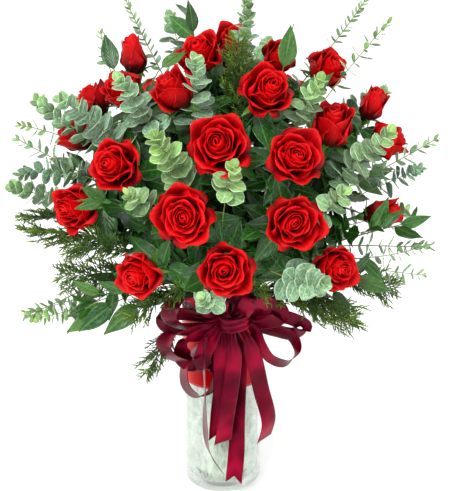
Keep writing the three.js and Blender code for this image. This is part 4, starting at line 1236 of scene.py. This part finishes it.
def ribbon_grid(path, across, held_ends, notch=0.0, slant=0.0, phase=0.0):
    """A ribbon along a path, drawn into pleats near the ends that the knot holds."""
    rows, cols = int(path.length / 2.5) + 2, 13
    v = np.linspace(0, 1, rows)[:, None]
    u = np.linspace(-1, 1, cols)[None, :]
    end_cut = notch * (1 - np.abs(u)) + slant * (0.5 + u / 2)
    s = v * (path.length - end_cut)
    middle, way = path.at(s), path.way(s, 3.0)
    t = s / path.length * (len(across) - 1)
    low = np.minimum(t.astype(int), len(across) - 2)
    share = smooth(0, 1, t - low)[..., None]
    wanted = mix(np.array(across, float)[low], np.array(across, float)[low + 1], share)
    side = square_to(wanted, way)
    face = np.cross(way, side)
    from_knot = np.minimum(s, path.length - s) if held_ends == 2 else s
    full = smooth(0, 1, np.clip(from_knot / RIBBON["gathered"], 0, 1))
    half = mix(RIBBON["pinch"], RIBBON["width"], full) / 2
    pleat = 2.6 * (1 - full) * np.cos(u * math.pi * 2.5 + phase)
    drift = 0.9 * full * np.sin(s / 17 + phase) * u + 1.1 * full * np.sin(s / 31 + phase) * u * u
    return middle + side * (u * half)[..., None] + face * (pleat + drift)[..., None]


def make_bow():
    """The looped bow in one piece: its loops, and the short length that ties them."""
    cutting = Cutting()
    for i, loop in enumerate(LOOPS):
        first, last = (mix(np.array(KNOT), np.array(loop["through"][k]), 0.3) for k in (0, -1))
        path = spline([first, *loop["through"], last])
        cutting.sheet(ribbon_grid(path, loop["across"], 2, phase=i * 1.7), RIBBON["thickness"])
    # the tie: once round the middle, creased along its length
    turn = np.linspace(0, 2 * math.pi * 1.02, 80)[:, None]
    u = np.linspace(-1, 1, 15)[None, :]
    crease_depth = 0.9 * np.cos(u * math.pi * 2.5 + np.sin(turn * 2))
    swell = 1 + 0.06 * np.sin(turn * 3 + 1) + 0.05 * u * u
    x = KNOT[0] + 12 + (21 * swell + crease_depth) * np.cos(turn)
    y = KNOT[1] - 12 + (14 * swell + crease_depth) * np.sin(turn)
    z = KNOT[2] - 4 + u * 10.5 + 2.5 * np.sin(turn + 0.5)
    cutting.sheet(np.stack([x, y, z], -1), RIBBON["thickness"])
    bow = cutting.piece("bow_loops", WINE_SATIN, "wine_satin", "bow_ribbon")


def make_tails():
    for i, tail in enumerate(TAILS):
        path = spline(tail["through"])
        cutting = Cutting()
        grid = ribbon_grid(path, tail["across"], 1, tail["notch"], tail["slant"], i * 2.1)
        cutting.sheet(grid, RIBBON["thickness"])
        piece = cutting.piece(f"bow_tail_{i + 1}", WINE_SATIN, "wine_satin", f"ribbon_tail_{i + 1}")


make_bow()
make_tails()


# ---------------------------------------------------------------- studio

def aim(thing, place, target):
    """Puts a light or camera at place, looking at target."""
    made = bpy.data.objects.new(thing.name, thing)
    bpy.context.scene.collection.objects.link(made)
    made.location = place
    way = unit(np.array(target, float) - np.array(place, float))
    made.rotation_euler = (math.acos(-way[2]), 0, math.atan2(-way[0], way[1]))
    return made


def softbox(name, size, power, place, target):
    light = bpy.data.lights.new(name, "AREA")
    light.size = size
    light.energy = power
    aim(light, place, target)


floor = bpy.data.meshes.new("floor")
half_floor = 30.0
floor.from_pydata([(-half_floor, -half_floor, 0), (half_floor, -half_floor, 0),
                   (half_floor, half_floor, 0), (-half_floor, half_floor, 0)], [], [(0, 1, 2, 3)])
floor.materials.append(painted_floor())
floor = bpy.data.objects.new("floor", floor)
bpy.context.scene.collection.objects.link(floor)

softbox("key", 1.0, 52, (-0.9, -1.9, 2.2), (0, 0, 0.45))
softbox("fill", 1.6, 6, (1.8, -1.6, 1.0), (0, 0, 0.4))

world = bpy.data.worlds.new("studio")
world.use_nodes = True
bpy.context.scene.world = world
world.node_tree.nodes["Background"].inputs["Color"].default_value = (1, 1, 1, 1)
world.node_tree.nodes["Background"].inputs["Strength"].default_value = 1.0

lens = bpy.data.cameras.new("camera")
lens.lens = 82.3
lens.sensor_width = 36
camera = bpy.data.objects.new("camera", lens)
bpy.context.scene.collection.objects.link(camera)
camera.location = (0.004, -1.6, 0.9)
camera.rotation_euler = (math.radians(72.2), 0, 0)
bpy.context.scene.camera = camera
bpy.context.scene.view_settings.view_transform = "Standard"
